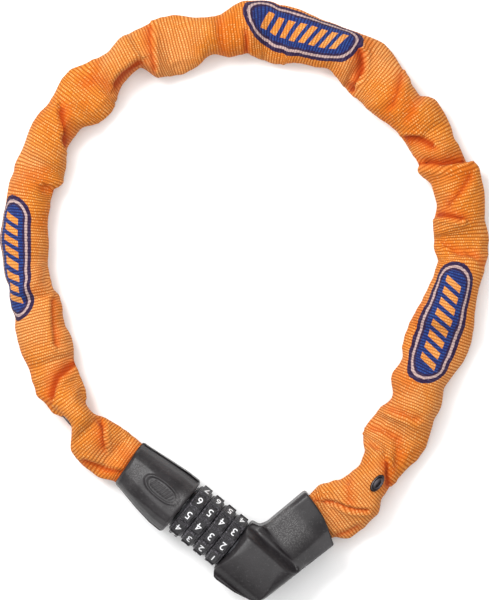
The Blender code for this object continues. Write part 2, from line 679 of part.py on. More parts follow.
def build_elbow(axis, frame, joints):
    """The elbow's cover and the metal core that holds the barrel and the chain's end."""
    path = bpy.data.curves.new("elbow_housing", "CURVE")
    path.dimensions = "2D"
    path.fill_mode = "BOTH"
    path.extrude = ELBOW_HEIGHT / 2 - ELBOW_ROUNDING
    path.bevel_depth = ELBOW_ROUNDING
    path.bevel_resolution = 2
    path.offset = -ELBOW_ROUNDING
    line = path.splines.new("POLY")
    line.points.add(len(ELBOW_OUTLINE) - 1)
    for point, (x, y) in zip(line.points, ELBOW_OUTLINE):
        point.co = (x, y, 0, 1)
    line.use_cyclic_u = True
    holder = bpy.data.objects.new("elbow_outline", path)
    bpy.data.collections[CUTTERS].objects.link(holder)
    bpy.context.view_layer.update()
    data = bpy.data.meshes.new_from_object(holder.evaluated_get(bpy.context.evaluated_depsgraph_get()))
    bpy.data.objects.remove(holder)
    shape = bmesh.new()
    shape.from_mesh(data)
    bmesh.ops.remove_doubles(shape, verts=shape.verts, dist=0.00002)
    bmesh.ops.recalc_face_normals(shape, faces=shape.faces)
    shape.to_mesh(data)
    shape.free()
    up = Matrix.Translation((0, 0, ELBOW_HEIGHT / 2))
    cover = add("elbow_housing", data, frame, ("dark_cover", COVER), up)

    arm_turn = axis_matrix(ELBOW_MOUTH, ELBOW_HEADING)
    arm = empty("elbow_arm", arm_turn, frame)
    low_top = box_mesh("arm_top_step", (ELBOW_ARM_HEIGHT - CHAIN_HEIGHT, -0.03, -0.024), (0.03, 0.03, 0.02))
    boolean(cover, cutter("arm_top_step", low_top, arm), "DIFFERENCE")
    mouth = [
        (-0.026, 0.0, 0.0, 0.0118, 0.0088, 2.6, 0.0),
        (0.012, 0.0, 0.0, 0.0118, 0.0088, 2.6, 0.0),
    ]
    boolean(cover, cutter("elbow_mouth_space", loft_mesh("elbow_mouth_space", mouth), arm), "DIFFERENCE")
    throat = box_mesh("elbow_throat", (-0.0083, -0.0073, -ELBOW_ARM_LENGTH), (0.0083, 0.0073, -0.020))
    boolean(cover, cutter("elbow_throat", throat, arm), "DIFFERENCE")
    pocket = cylinder_mesh("elbow_core_space", CORE_RADIUS + FIT, ELBOW_FACE - 0.004, CORE_END + FIT)
    boolean(cover, cutter("elbow_core_space", pocket, axis), "DIFFERENCE")

    block = cylinder_mesh("elbow_core", CORE_RADIUS, ELBOW_FACE + 0.0002, CORE_END, 20)
    core = add("elbow_core", block, axis, ("zinc", ZINC))
    pin_depth = (joints[-1] - ELBOW_MOUTH).length
    clevis = box_mesh(
        "elbow_clevis",
        (-CLEVIS_HALF_HEIGHT, -CLEVIS_HALF_WIDTH, -ELBOW_ARM_LENGTH + 0.001),
        (CLEVIS_HALF_HEIGHT, CLEVIS_HALF_WIDTH, -pin_depth + CLEVIS_NOSE),
    )
    boolean(core, cutter("elbow_clevis", clevis, arm), "UNION")
    slot_start = -pin_depth - BOW_RADIUS - BAR - 0.0008
    gap = box_mesh("elbow_clevis_slot", (-CLEVIS_SLOT / 2, -0.012, slot_start), (CLEVIS_SLOT / 2, 0.012, 0.0))
    boolean(core, cutter("elbow_clevis_slot", gap, arm), "DIFFERENCE")
    bore = cylinder_mesh("elbow_barrel_hole", BARREL_RADIUS + FIT, 0.0, BARREL_END + FIT)
    boolean(core, cutter("elbow_barrel_hole", bore, axis), "DIFFERENCE")
    return core


def build_rivet(name, frame, joints, link, offset, tilt):
    """A round-headed rivet on the sleeve over one link, leaning from the top by a tilt."""
    near, far = joints[link - 1], joints[link]
    heading = math.atan2(far.y - near.y, far.x - near.x)
    middle = (near + far) / 2 + offset * (far - near).normalized()
    place = Matrix.Translation(middle) @ Matrix.Rotation(heading, 4, "Z") @ Matrix.Rotation(tilt, 4, "X")
    low = SLEEVE_RADIUS + FIT
    crown = 0.0004
    profile = [
        (0.0, low + RIVET_HEIGHT), (RIVET_RADIUS - 0.0012, low + RIVET_HEIGHT - 0.0001),
        (RIVET_RADIUS, low + crown), (RIVET_RADIUS, low), (0.0, low),
    ]
    rivet = turned(name, profile, frame, ("zinc", ZINC), 16, closed=False)
    rivet.matrix_local = place


def main():
    for item in list(bpy.data.objects):
        bpy.data.objects.remove(item)
    collection(COLLECTION)
    collection(CUTTERS)
    frame = empty("lock_frame", Matrix.Translation(FRAME_SHIFT))
    axis = empty("lock_axis", axis_matrix(CAP_FACE, AXIS_HEADING), frame)
    joints = build_chain(frame)
    build_sleeve(frame, joints)
    build_chain_pin("plug_chain_pin", frame, joints[0], build_cap(axis, frame))
    build_bolt(axis)
    build_barrel(axis)
    for index in range(DIAL_COUNT):
        build_dial(axis, index)
    build_chain_pin("elbow_chain_pin", frame, joints[-1], build_elbow(axis, frame, joints))
    build_rivet("sleeve_rivet_plug_side", frame, joints, 2, RIVET_OFFSET, RIVET_TILT)
    build_rivet("sleeve_rivet_elbow_side", frame, joints, 24, -RIVET_OFFSET, 0.0)


main()
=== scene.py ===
"""Looks of the combination chain lock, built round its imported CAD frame."""
import json
import math

import bmesh
import bpy
import numpy as np
from mathutils import Matrix, Vector, bvhtree, noise

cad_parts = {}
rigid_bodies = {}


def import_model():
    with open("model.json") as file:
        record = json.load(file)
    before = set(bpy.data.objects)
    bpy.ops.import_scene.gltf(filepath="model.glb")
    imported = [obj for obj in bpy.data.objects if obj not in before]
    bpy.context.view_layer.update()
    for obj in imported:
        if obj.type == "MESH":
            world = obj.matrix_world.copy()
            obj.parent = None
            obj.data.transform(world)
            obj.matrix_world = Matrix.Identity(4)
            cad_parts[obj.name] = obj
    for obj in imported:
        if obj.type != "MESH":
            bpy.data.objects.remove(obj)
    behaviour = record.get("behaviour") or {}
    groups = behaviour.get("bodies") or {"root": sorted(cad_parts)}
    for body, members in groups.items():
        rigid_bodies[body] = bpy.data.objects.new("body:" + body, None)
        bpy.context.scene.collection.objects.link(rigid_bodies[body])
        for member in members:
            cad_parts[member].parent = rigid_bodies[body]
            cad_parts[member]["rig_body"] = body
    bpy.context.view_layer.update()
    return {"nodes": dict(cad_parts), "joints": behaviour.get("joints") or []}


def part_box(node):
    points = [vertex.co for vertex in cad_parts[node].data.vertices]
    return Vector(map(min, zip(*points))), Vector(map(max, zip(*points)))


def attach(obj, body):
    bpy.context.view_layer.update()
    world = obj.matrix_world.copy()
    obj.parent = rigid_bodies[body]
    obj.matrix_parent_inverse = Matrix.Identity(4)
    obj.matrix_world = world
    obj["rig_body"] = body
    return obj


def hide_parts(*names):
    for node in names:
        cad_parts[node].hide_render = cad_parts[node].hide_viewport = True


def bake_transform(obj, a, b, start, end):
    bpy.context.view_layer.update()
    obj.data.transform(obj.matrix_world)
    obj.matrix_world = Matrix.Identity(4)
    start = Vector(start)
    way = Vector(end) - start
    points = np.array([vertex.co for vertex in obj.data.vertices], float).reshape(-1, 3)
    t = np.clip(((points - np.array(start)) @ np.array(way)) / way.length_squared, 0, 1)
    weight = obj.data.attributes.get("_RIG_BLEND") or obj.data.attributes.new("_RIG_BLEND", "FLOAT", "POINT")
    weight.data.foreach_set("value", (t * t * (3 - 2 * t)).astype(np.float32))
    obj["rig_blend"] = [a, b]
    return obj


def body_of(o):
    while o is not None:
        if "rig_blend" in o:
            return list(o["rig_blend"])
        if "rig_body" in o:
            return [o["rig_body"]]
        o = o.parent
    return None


MM = 0.001

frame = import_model()
nodes = frame["nodes"]
joint_of = {j["name"]: j for j in frame["joints"]}

# -------------------------------- chain and sleeve measures, in millimetres
LINKS = 25
CHAIN_HEIGHT = 11.35
LINK_REACH = 10.2  # from the chain's line to the outer side of a link on edge
LINK_STRAIGHT = 9.4  # half the length over which it reaches that far
FLAT_LINK_REACH = 3.2
MOUTH_TOP = 18.9  # how high the sleeve reaches where it is tucked in
LOWEST_FABRIC = 0.25
PIN_DEPTH = 4.5  # the first link's pivot lies this far inside the cap's mouth
FAR_MOUTH = 625.8  # where the sleeve is down to its tucked-in size again, just inside the elbow's mouth
TUCKED_IN = 3.5  # how far it goes on from there, and from the cap's mouth
SLEEVE_ENDS = (-TUCKED_IN, FAR_MOUTH + TUCKED_IN)
FABRIC_ROUND = 70.0  # the fabric's own width, round the tube
RING_STEP = 0.8  # between two rings of the fabric's mesh
AROUND = 90  # points round a ring
OPEN_PIVOT = 12  # the pivot where the loop is opened
BLEND_REACH = 9.0  # how far from a hinge the fabric starts to bend
END_CUTS = (9.5, FAR_MOUTH - 9.5)  # where the two end pieces stop at the latest
MOUTH_BENDS = {SLEEVE_ENDS[0]: (-2.0, 8.0), SLEEVE_ENDS[1]: (FAR_MOUTH - 8.0, FAR_MOUTH + 2.0)}

# The sleeve's bulges and waists seen from above: the distance from the cap's mouth and the half width there,
# outside and inside of the loop. They are picked out of widths that were fitted to the photo.
OUTSIDE = [
    (0, 12.5), (8, 15.2), (18, 17), (24, 16), (36, 6.4), (43, 7.1), (54, 13), (63, 12), (77, 13.5),
    (84, 13.4), (93, 11.5), (97, 12.2), (105, 11), (114, 10.8), (129, 13.3), (152, 11), (159, 11.8),
    (168, 11.1), (184, 13.3), (196, 12), (210, 14.8), (220, 10.2), (228, 9.2), (240, 13.6), (247, 13.4),
    (261, 14.9), (275, 10), (282, 9.1), (300, 15.3), (309, 14.6), (320, 12.7), (336, 12), (350, 13),
    (363, 15.2), (375, 12), (389, 9.9), (397, 14), (408, 12.7), (415, 11.3), (426, 12.1), (432, 16.5),
    (443, 15.9), (456, 12.6), (467, 13.3), (478, 11.1), (495, 12.7), (507, 15.3), (517, 16), (528, 13.2),
    (536, 11), (545, 13.2), (552, 12.3), (568, 15.2), (579, 12), (594, 13.2), (602, 18.4), (618, 18),
    (626, 12), (630, 11),
]
INSIDE = [
    (0, 10.8), (10, 11), (26, 7.9), (32, 5), (42, 5.6), (47, 9.7), (57, 10.1), (75, 13), (82, 11.5),
    (96, 12.8), (105, 8.2), (111, 10.9), (125, 11.3), (136, 10), (146, 10.3), (156, 10), (162, 14),
    (171, 13), (183, 8), (192, 8.2), (202, 14.4), (213, 15.3), (220, 13.6), (230, 7.4), (240, 4.6),
    (246, 12.8), (257, 15.1), (267, 14.3), (280, 9.2), (287, 11.6), (296, 11), (303, 14.3), (320, 16),
    (328, 12.9), (338, 11.1), (345, 9.6), (357, 14.2), (377, 14.6), (396, 11), (412, 11.5), (417, 9.9),
    (425, 11.7), (432, 8.2), (441, 8.5), (453, 13.7), (462, 14.3), (478, 12.2), (497, 13.8), (512, 16.6),
    (523, 16.3), (531, 14.1), (539, 15.8), (551, 11.3), (558, 14.6), (574, 16.4), (579, 15.3), (586, 8.8),
    (594, 6.2), (603, 7), (615, 12.1), (624, 10.8), (630, 10.8),
]
# How high the fabric's lowest line lies, as points (distance, height).
UNDERSIDE = [(-4, 3.7), (1, 3.5), (6, 1.7), (13, 0.4), (612, 0.4), (619, 1.7), (624.5, 3.5), (630, 3.7)]

# Creases: points (distance, offset towards the outside), depth, half width, strength of the painted shade
# in the fold, and how far to the side the fabric sinks too: to the left of the points' run where that is
# positive, to the right where negative.
CREASES = [
    ([(60, -10.5), (57, -0.6), (50, 5)], 1.5, 1.3, 1.0, -5.5),
    ([(95, -9.6), (84, -7), (74, -5.4)], 1.3, 1.1, 0.75, 2.4),
    ([(156, -11), (157, -7)], 1.3, 1.3, 0.6, 3),
    ([(195, 4.5), (189, -0.7), (183, -6), (181, -9)], 1.7, 1.0, 1.0, 6),
    ([(225, -7.5), (232, -5), (241, -2.6)], 1.3, 1.4, 1.0, -4.0),
    ([(213, 3), (219, -1), (221, -7)], 0.6, 3.0, 0.5, 4.5),
    ([(253, 11.4), (250, 1.9), (246.5, -9)], 1.2, 1.0, 0.8, -3.4),
    ([(285, 6), (284, -2), (284, -9.5)], 0.5, 2.0, 0.6, 4),
    ([(297, -1), (297, -6), (296, -12)], 1.4, 1.1, 0.9, 0),
    ([(356, 4.5), (361, -2), (363, -7), (364, -13)], 1.6, 1.1, 1.0, -7),
    ([(377, 9), (381, 1.8), (385, -5)], 1.3, 1.6, 0.75, -3.5),
    ([(391, 9), (392, 4), (395, -3)], 0.8, 1.5, 0.5, -3),
    ([(401, -11), (406, -5), (412, -1)], 1.5, 1.0, 1.0, -5),
    ([(419, -12), (425, -1.4), (427, 12)], 1.6, 1.3, 1.0, 5),
    ([(434, 10.7), (439, 4.6), (444, -3.4)], 1.1, 1.8, 0.8, -3.5),
    ([(447, -12), (449, -7), (453, 0)], 1.5, 1.1, 1.0, 4.5),
    ([(466, -9), (470, -2), (471, 5)], 0.9, 1.3, 0.65, 3.5),
    ([(470, 3), (474, 9), (475, 13)], 0.8, 1.2, 0.55, 3),
    ([(557, -10), (556.5, -2), (556, 3.7)], 1.0, 1.2, 0.55, 3),
    ([(570, -13), (568.5, -6), (569, 0)], 1.1, 1.2, 0.65, 3),
    ([(580, -11), (579, -7)], 1.0, 1.3, 0.5, 0),
    ([(571, 1), (578, 5), (584, 7)], 0.9, 1.6, 0.6, 3.5),
    ([(581, 2), (584, 6.5), (587, 11)], 1.5, 1.1, 1.0, -4),
    ([(621, -8), (613, -0.4), (611, 4), (609, 7.8), (604, 12.5)], 1.3, 0.9, 0.8, 0),
    ([(623, 12.6), (618, 15), (613, 16)], 0.8, 1.2, 0.7, 0),
    ([(602, -4), (605, -1), (608, 3)], 0.9, 1.3, 0.6, 3.5),
    ([(24, -5.5), (19.5, -1.6), (16, 0.6)], 1.3, 1.0, 0.95, -5),
    ([(17, 14.5), (9, 10), (1.5, 6.5)], 1.2, 1.2, 0.85, -3),
    ([(-2, -11), (-1, 0), (-2, 11)], 0.3, 4.2, 1.0, 0),
    ([(628, -11), (627, 0), (628, 11)], 0.3, 2.2, 1.0, 0),
]
# The one fold that laps over its neighbour, as points (distance, offset).
STEP_FOLD = [(419, -14), (422, -6), (425, -1.4), (427, 8), (428, 14)]

# Printed badges: first and last distance, a line along the badge, how far round the tube the badge's middle
# is from that line, and its width. Two lines run near an edge, and the last one along the middle.
BADGE_WIDTH, BADGE_LENGTH = 22.6, 60.0  # the pattern's own size
BADGES = [
    (89.6, 149.6, [(89, 2.6), (98.6, 1.3), (112, -1.6), (121, -2.0), (141, -0.8), (151, 1.4)], -8.6, 20.5),
    (
        297.0, 354.6, [(297, -3.0), (306, -7.2), (320, -10.2), (337, -8.2), (350, -4.4), (357, -1.6)],
        -10.8, 24.0,
    ),
    (474.6, 538.4, [(480, -2.6), (500, -2.0), (515, -1.8), (534, -2.4)], 0.0, 20.5),
]
BAR_PITCH = 5.4  # the badge's slanted bars
BAR_SLANT = 0.42
BAR_COUNT = 8

# The weave, in millimetres.
RIB_PITCH = 1.4
THREAD_PITCH = 1.15

# -------------------------------- view and light, in metres and watts
VIEW_MIDDLE = (0.000404, 0.001505)
CAMERA_DISTANCE = 1.5
VIEW_LENGTH = 0.2985  # what the long side of the view takes in, at the height of the lock's axis
SENSOR_WIDTH = 36.0
LIGHT_GAIN = 0.77  # what the light adds is taken off the colours
WORLD_LIGHT = 0.42
TOP_LIGHT = ((-0.1, 0.15, 1.3), (2.0, 1.8), 22.0)  # place, size and power
KEY_LIGHT = ((-0.5, 0.5, 1.0), (0.45, 0.45), 10.5)
FLOOR_REACH = 3.0
FLOOR_COLOR = (0.92, 0.92, 0.92, 1)


# -------------------------------- shader helpers
class Shader:
    """A material's node tree, with short calls to add nodes."""

    def __init__(self, name):
        self.material = bpy.data.materials.new(name)
        self.material.use_nodes = True
        self.tree = self.material.node_tree
        self.body = self.tree.nodes["Principled BSDF"]

    def add(self, kind, inputs=None, **settings):
        made = self.tree.nodes.new(kind)
        for key, value in settings.items():
            setattr(made, key, value)
        for key, value in (inputs or {}).items():
            self.put(made.inputs[key], value)
        return made

    def put(self, socket, value):
        """Links a socket to another one's value, or sets it."""
        if isinstance(value, bpy.types.NodeSocket):
            self.tree.links.new(value, socket)
        else:
            socket.default_value = value

    def math(self, operation, first, second=0.0):
        return self.add("ShaderNodeMath", {0: first, 1: second}, operation=operation).outputs[0]

    def times(self, first, second):
        return self.math("MULTIPLY", first, second)

    def plus(self, first, second):
        return self.math("ADD", first, second)

    def minus(self, first, second):
        return self.math("SUBTRACT", first, second)

    def ramp(self, value, low, high, to_low=0.0, to_high=1.0):
        """A soft step from one value to another between low and high."""
        made = self.add("ShaderNodeMapRange", {
            "Value": value, "From Min": low, "From Max": high, "To Min": to_low, "To Max": to_high,
        }, interpolation_type="SMOOTHSTEP")
        return made.outputs["Result"]

    def mix(self, factor, first, second):
        made = self.add("ShaderNodeMix", {0: factor, 6: first, 7: second}, data_type="RGBA")
        return made.outputs[2]

    def noise(self, place, scale, detail=3.0, roughness=0.5, distortion=0.0):
        made = self.add("ShaderNodeTexNoise", {
            "Vector": place, "Scale": scale, "Detail": detail, "Roughness": roughness,
            "Distortion": distortion,
        })
        return made.outputs["Fac"]

    def wave(self, value):
        """0 at whole numbers and 1 halfway between them."""
        return self.math("ABSOLUTE", self.math("SINE", self.times(value, math.pi)))

    def attribute(self, name):
        return self.add("ShaderNodeAttribute", attribute_name=name).outputs["Fac"]

    def place(self):
        return self.add("ShaderNodeTexCoord").outputs["Object"]

    def bump(self, height, distance, strength=1.0, normal=None):
        made = self.add("ShaderNodeBump", {"Height": height, "Distance": distance, "Strength": strength})
        if normal is not None:
            self.put(made.inputs["Normal"], normal)
        return made.outputs["Normal"]

    def finish(self, **inputs):
        """Sets the shader's own sockets, an underscore standing for a space, and returns the material."""
        for key, value in inputs.items():
            self.put(self.body.inputs[key.replace("_", " ")], value)
        return self.material


def color(painted_fold_shade, green, blue):
    """A colour given as it looks under the studio's bright light, 0 to 255."""
    return tuple(LIGHT_GAIN * (c / 255) ** 2.2 for c in (painted_fold_shade, green, blue)) + (1.0,)


def badge_print(s, base, knot, rib_wave, groove):
    """The badges over the base colour: a navy rim, a pale line, a blue field and a row of slanted bars."""
    badge = s.add("ShaderNodeSeparateXYZ", {0: s.add("ShaderNodeUVMap", uv_map="badge").outputs[0]})
    side = s.times(badge.outputs[0], 1000)
    length = s.times(badge.outputs[1], 1000)
    from_side = s.math("ABSOLUTE", side)
    radius = BADGE_WIDTH / 2
    reach = s.math("MAXIMUM", s.minus(s.math("ABSOLUTE", length), BADGE_LENGTH / 2 - radius), 0.0)
    squares = s.plus(s.times(side, side), s.times(reach, reach))
    ragged = s.times(s.minus(knot, 0.5), 0.28)
    edge = s.plus(s.minus(radius, s.math("SQRT", squares)), ragged)
    inside = s.ramp(edge, -0.12, 0.12)
    line = s.times(s.ramp(edge, 1.9, 2.15), s.ramp(edge, 3.2, 3.45, 1.0, 0.0))
    field = s.ramp(edge, 4.3, 4.7)
    slant = s.math("DIVIDE", s.plus(length, s.times(side, BAR_SLANT)), BAR_PITCH)
    bar = s.math("ABSOLUTE", s.minus(s.math("FRACT", slant), 0.5))
    bars = s.times(s.ramp(bar, 0.27, 0.31, 1.0, 0.0), s.ramp(from_side, 4.2, 4.5, 1.0, 0.0))
    row_end = BAR_COUNT / 2
    row = s.ramp(s.math("ABSOLUTE", slant), row_end - 0.05, row_end + 0.05, 1.0, 0.0)
    bars = s.times(bars, row)
    # the inks lighter on the rib crests at random knots: random grain with a painted highlight
    ink_grain_and_highlight = s.times(s.times(rib_wave, knot), 0.4)
    navy = s.mix(ink_grain_and_highlight, color(30, 28, 66), color(88, 84, 122))
    blue = s.mix(ink_grain_and_highlight, color(4, 56, 124), color(40, 104, 182))
    # the pale line and the blue field darker in the weave's grooves: painted shade
    pale = s.mix(s.times(groove, 0.5), color(206, 178, 172), color(120, 98, 112))
    ink = s.mix(field, navy, s.mix(s.times(groove, 0.7), blue, color(6, 22, 58)))
    ink = s.mix(line, ink, pale)
    ink = s.mix(bars, ink, s.mix(0.25, base, color(244, 176, 96)))
    return s.mix(s.times(inside, 0.97), base, ink)


def fabric_material():
    """Ribbed woven orange textile with fine threads and the printed badges. Its colour carries painted shade
    in the folds and grooves, and painted highlights on knot tops and in pale patches.
    """
    s = Shader("orange_fabric")
    weave = s.add("ShaderNodeSeparateXYZ", {0: s.add("ShaderNodeUVMap", uv_map="weave").outputs[0]})
    across = s.times(weave.outputs[0], 1000)
    along = s.times(weave.outputs[1], 1000)
    place = s.place()
    wobble = s.times(s.minus(s.noise(place, 90, 2), 0.5), 1.3)
    rib = s.math("DIVIDE", s.plus(along, wobble), RIB_PITCH)
    row = s.math("FLOOR", rib)
    rib_wave = s.wave(rib)
    stagger = s.times(s.math("MODULO", row, 2.0), 0.5)
    thread = s.plus(s.math("DIVIDE", across, THREAD_PITCH), stagger)
    thread_wave = s.wave(thread)
    knot_at = s.add("ShaderNodeCombineXYZ", {0: row, 1: s.math("FLOOR", thread)}).outputs[0]
    knot = s.add("ShaderNodeTexWhiteNoise", {"Vector": knot_at}, noise_dimensions="2D").outputs["Value"]

    cloudy = s.noise(place, 55, 4, 0.6)
    # pale patches at random: a painted powdery highlight
    powdery_highlight = s.ramp(s.noise(place, 24, 3, 0.55), 0.42, 0.66)
    base = s.mix(cloudy, color(228, 126, 40), color(243, 154, 68))
    base = s.mix(s.times(powdery_highlight, 0.55), base, color(243, 172, 110))
    # broad redder patches at random: painted shade
    sunk = s.ramp(s.noise(place, 38, 2, 0.45, 0.6), 0.52, 0.72)
    base = s.mix(s.times(sunk, 0.5), base, color(226, 104, 22))
    raised = s.times(rib_wave, s.plus(s.times(thread_wave, 0.5), 0.5))
    # darker in the grooves between ribs and threads: painted shade
    groove = s.ramp(s.minus(1.0, raised), 0.2, 0.85)
    base = s.mix(s.times(groove, 0.8), base, color(170, 82, 16))
    # lighter on the tops of random knots: a painted highlight
    tops = s.ramp(s.times(rib_wave, thread_wave), 0.55, 0.9)
    speck_highlight = s.times(s.ramp(knot, 0.45, 0.85), tops)
    base = s.mix(s.times(speck_highlight, 0.6), base, color(252, 204, 134))
    # painted shade in the folds: redder and darker orange
    painted_crease_shade = s.attribute("painted_crease_shade")
    base = s.mix(s.times(painted_crease_shade, 0.75), base, color(214, 80, 14))
    base = s.mix(s.ramp(painted_crease_shade, 0.55, 1.0, 0.0, 0.6), base, color(150, 40, 4))
    base = badge_print(s, base, knot, rib_wave, groove)

    threads = s.times(rib_wave, s.plus(s.times(thread_wave, 0.45), 0.55))
    threads = s.plus(threads, s.times(knot, 0.2))
    normal = s.bump(threads, 0.00034, 0.9)
    fuzz = s.bump(s.noise(place, 2600, 2, 0.7), 0.00012, 0.6, normal)
    roughness = s.ramp(cloudy, 0.2, 0.8, 0.78, 0.92)
    return s.finish(
        Base_Color=base, Roughness=roughness, Normal=fuzz, Sheen_Weight=0.05, Sheen_Roughness=0.45,
        Sheen_Tint=(1.0, 0.72, 0.42, 1.0), Specular_IOR_Level=0.1,
    )


def cover_material():
    """Moulded plastic: charcoal, faintly mottled, with a fine pebbly grain, stronger where marked and painted
    lighter there as a painted highlight.
    """
    s = Shader("dark_cover")
    place = s.place()
    cloudy = s.noise(place, 60, 4, 0.6)
    fine = s.noise(place, 900, 3, 0.65)
    tone = s.mix(s.ramp(cloudy, 0.3, 0.7), color(34, 31, 33), color(48, 45, 47))
    tone = s.mix(s.times(s.ramp(fine, 0.55, 0.8), 0.35), tone, color(104, 104, 104))
    voronoi = s.add("ShaderNodeTexVoronoi", {"Vector": place, "Scale": 1500.0}, feature="F1")
    cells = voronoi.outputs["Distance"]
    pebbling_and_highlight = s.attribute("pebble_and_highlight")
    grain = s.times(cells, s.plus(pebbling_and_highlight, 0.25))
    normal = s.bump(grain, 0.0003, 0.5)
    normal = s.bump(s.noise(place, 160, 3, 0.5), 0.0004, 0.3, normal)
    # the marked grain's cells painted lighter: a painted highlight
    tone = s.mix(s.times(pebbling_and_highlight, s.ramp(cells, 0.1, 0.6, 0.6, 0.16)), tone, color(128, 126, 126))
    roughness = s.ramp(fine, 0.3, 0.7, 0.36, 0.5)
    return s.finish(Base_Color=tone, Roughness=roughness, Normal=normal, Specular_IOR_Level=0.38)


def dial_material():
    """Black moulded dials: grainy, with grey scratches."""
    s = Shader("dial_black")
    place = s.place()
    fine = s.noise(place, 1400, 3, 0.7)
    scratch = s.noise(place, 700, 4, 0.75, 1.5)
    parts = s.add("ShaderNodeSeparateXYZ", {0: place})
    square = [s.times(parts.outputs[k], parts.outputs[k]) for k in (0, 1)]
    radius = s.times(s.math("SQRT", s.plus(*square)), 1000)
    between = s.ramp(radius, 13.9, 14.2, 1.0, 0.12)  # the lower ground between the pads
    tone = s.mix(s.ramp(fine, 0.35, 0.7), color(14, 12, 16), color(34, 31, 36))
    worn = s.times(s.ramp(scratch, 0.46, 0.66), between)
    tone = s.mix(s.times(worn, 0.9), tone, color(140, 136, 144))
    normal = s.bump(s.plus(fine, s.times(worn, 0.8)), 0.00035, 0.9)
    return s.finish(Base_Color=tone, Roughness=s.ramp(scratch, 0.4, 0.7, 0.4, 0.65), Normal=normal)


def paint_material():
    """White paint on the digits, a little uneven."""
    s = Shader("digit_white")
    place = s.place()
    fine = s.ramp(s.noise(place, 1500, 3, 0.7), 0.35, 0.6)
    tone = s.mix(fine, color(232, 232, 236), color(255, 255, 255))
    normal = s.bump(s.noise(place, 2500, 2), 0.00005, 0.5)
    roughness = s.ramp(s.noise(place, 900), 0.3, 0.7, 0.4, 0.55)
    return s.finish(Base_Color=tone, Roughness=roughness, Normal=normal)


def metal_material(name, dark, light, roughness, brushed):
    """Bare metal with a cast or drawn grain, small pits and duller patches."""
    s = Shader(name)
    place = s.place()
    stretched = s.add("ShaderNodeMapping", {0: place, 3: (1.0, 1.0, brushed)}).outputs[0]
    grain = s.noise(stretched, 500, 4, 0.65)
    patches = s.noise(place, 120, 3)
    tone = s.mix(s.ramp(patches, 0.3, 0.7), dark, light)
    tone = s.mix(s.times(s.ramp(grain, 0.6, 0.8), 0.5), tone, dark)
    normal = s.bump(grain, 0.00012, 0.5)
    rough = s.ramp(grain, 0.25, 0.75, roughness - 0.08, roughness + 0.12)
    return s.finish(Base_Color=tone, Metallic=1.0, Roughness=rough, Normal=normal)


# -------------------------------- meshes
def piece(name, points, faces, material, smooth=True):
    """A new object made of points in metres and faces."""
    data = bpy.data.meshes.new(name)
    data.from_pydata([tuple(p) for p in points], [], faces)
    data.materials.append(material)
    made = bpy.data.objects.new(name, data)
    bpy.context.scene.collection.objects.link(made)
    if smooth:
        data.polygons.foreach_set("use_smooth", np.ones(len(data.polygons), bool))
    data.update()
    return made


def coordinates(data):
    """A mesh's points as rows of three numbers."""
    points = np.zeros(len(data.vertices) * 3)
    data.vertices.foreach_get("co", points)
    return points.reshape(-1, 3)


def mesh_normals(data):
    """A mesh's vertex normals as rows of three numbers."""
    normals = np.zeros(len(data.vertices) * 3)
    data.vertices.foreach_get("normal", normals)
    return normals.reshape(-1, 3)


def set_attribute(data, name, values):
    """Stores one number for each vertex, for the material to read."""
    made = data.attributes.new(name, "FLOAT", "POINT")
    made.data.foreach_set("value", np.asarray(values, np.float32))


def ease(value, low, high):
    """A soft step from 0 at low to 1 at high."""
    at = np.clip((value - low) / (high - low), 0, 1)
    return at * at * (3 - 2 * at)


def hump(off, width, power=2):
    """1 where off is 0, and next to nothing beyond twice the width."""
    return np.exp(-((off / width) ** power))


# -------------------------------- the chain's line
def chain_pivots():
    """The pivots' places in millimetres: each packed link's box is centred between two of them."""
    pivots = [np.array(joint_of["link_01_swing"]["pos_m"])]
    for i in range(1, LINKS + 1):
        low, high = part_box(f"chain_link_{i:02d}")
        pivots.append(np.array(low + high) - pivots[-1])
    return np.array(pivots) / MM


class Route:
    """The sleeve's middle line, seen from above, by distance from the cap's mouth."""

    def __init__(self, pivots):
        knots = []
        for i in range(0, LINKS, 2):
            knots += [pivots[i], (pivots[i] + pivots[i + 1]) / 2, pivots[i + 1]]
        knots = np.array(knots)[:, :2]
        knots = np.vstack([2 * knots[0] - knots[1], knots, 2 * knots[-1] - knots[-2]])
        t = np.linspace(0, 1, 80, endpoint=False)[:, None]
        runs = []
        for a, b, c, d in zip(knots, knots[1:], knots[2:], knots[3:]):
            square = 2 * a - 5 * b + 4 * c - d
            cube = 3 * b - a - 3 * c + d
            runs.append(0.5 * (2 * b + (c - a) * t + square * t**2 + cube * t**3))
        line = np.vstack(runs + [knots[-2][None]])
        steps = np.linalg.norm(np.diff(line, axis=0), axis=1)
        self.at = np.concatenate([[0], np.cumsum(steps)]) - PIN_DEPTH
        self.line = line
        self.pivots = [self.nearest(p[:2]) for p in pivots]

    def nearest(self, point):
        return float(self.at[np.argmin(np.linalg.norm(self.line - point, axis=1))])

    def point(self, s):
        return np.stack([np.interp(s, self.at, self.line[:, k]) for k in (0, 1)], axis=-1)

    def tangent(self, s, reach=5.0):
        step = self.point(np.asarray(s) + reach) - self.point(np.asarray(s) - reach)
        return step / np.linalg.norm(step, axis=-1, keepdims=True)

    def outward(self, s):
        t = self.tangent(s)
        return np.stack([-t[..., 1], t[..., 0]], axis=-1)


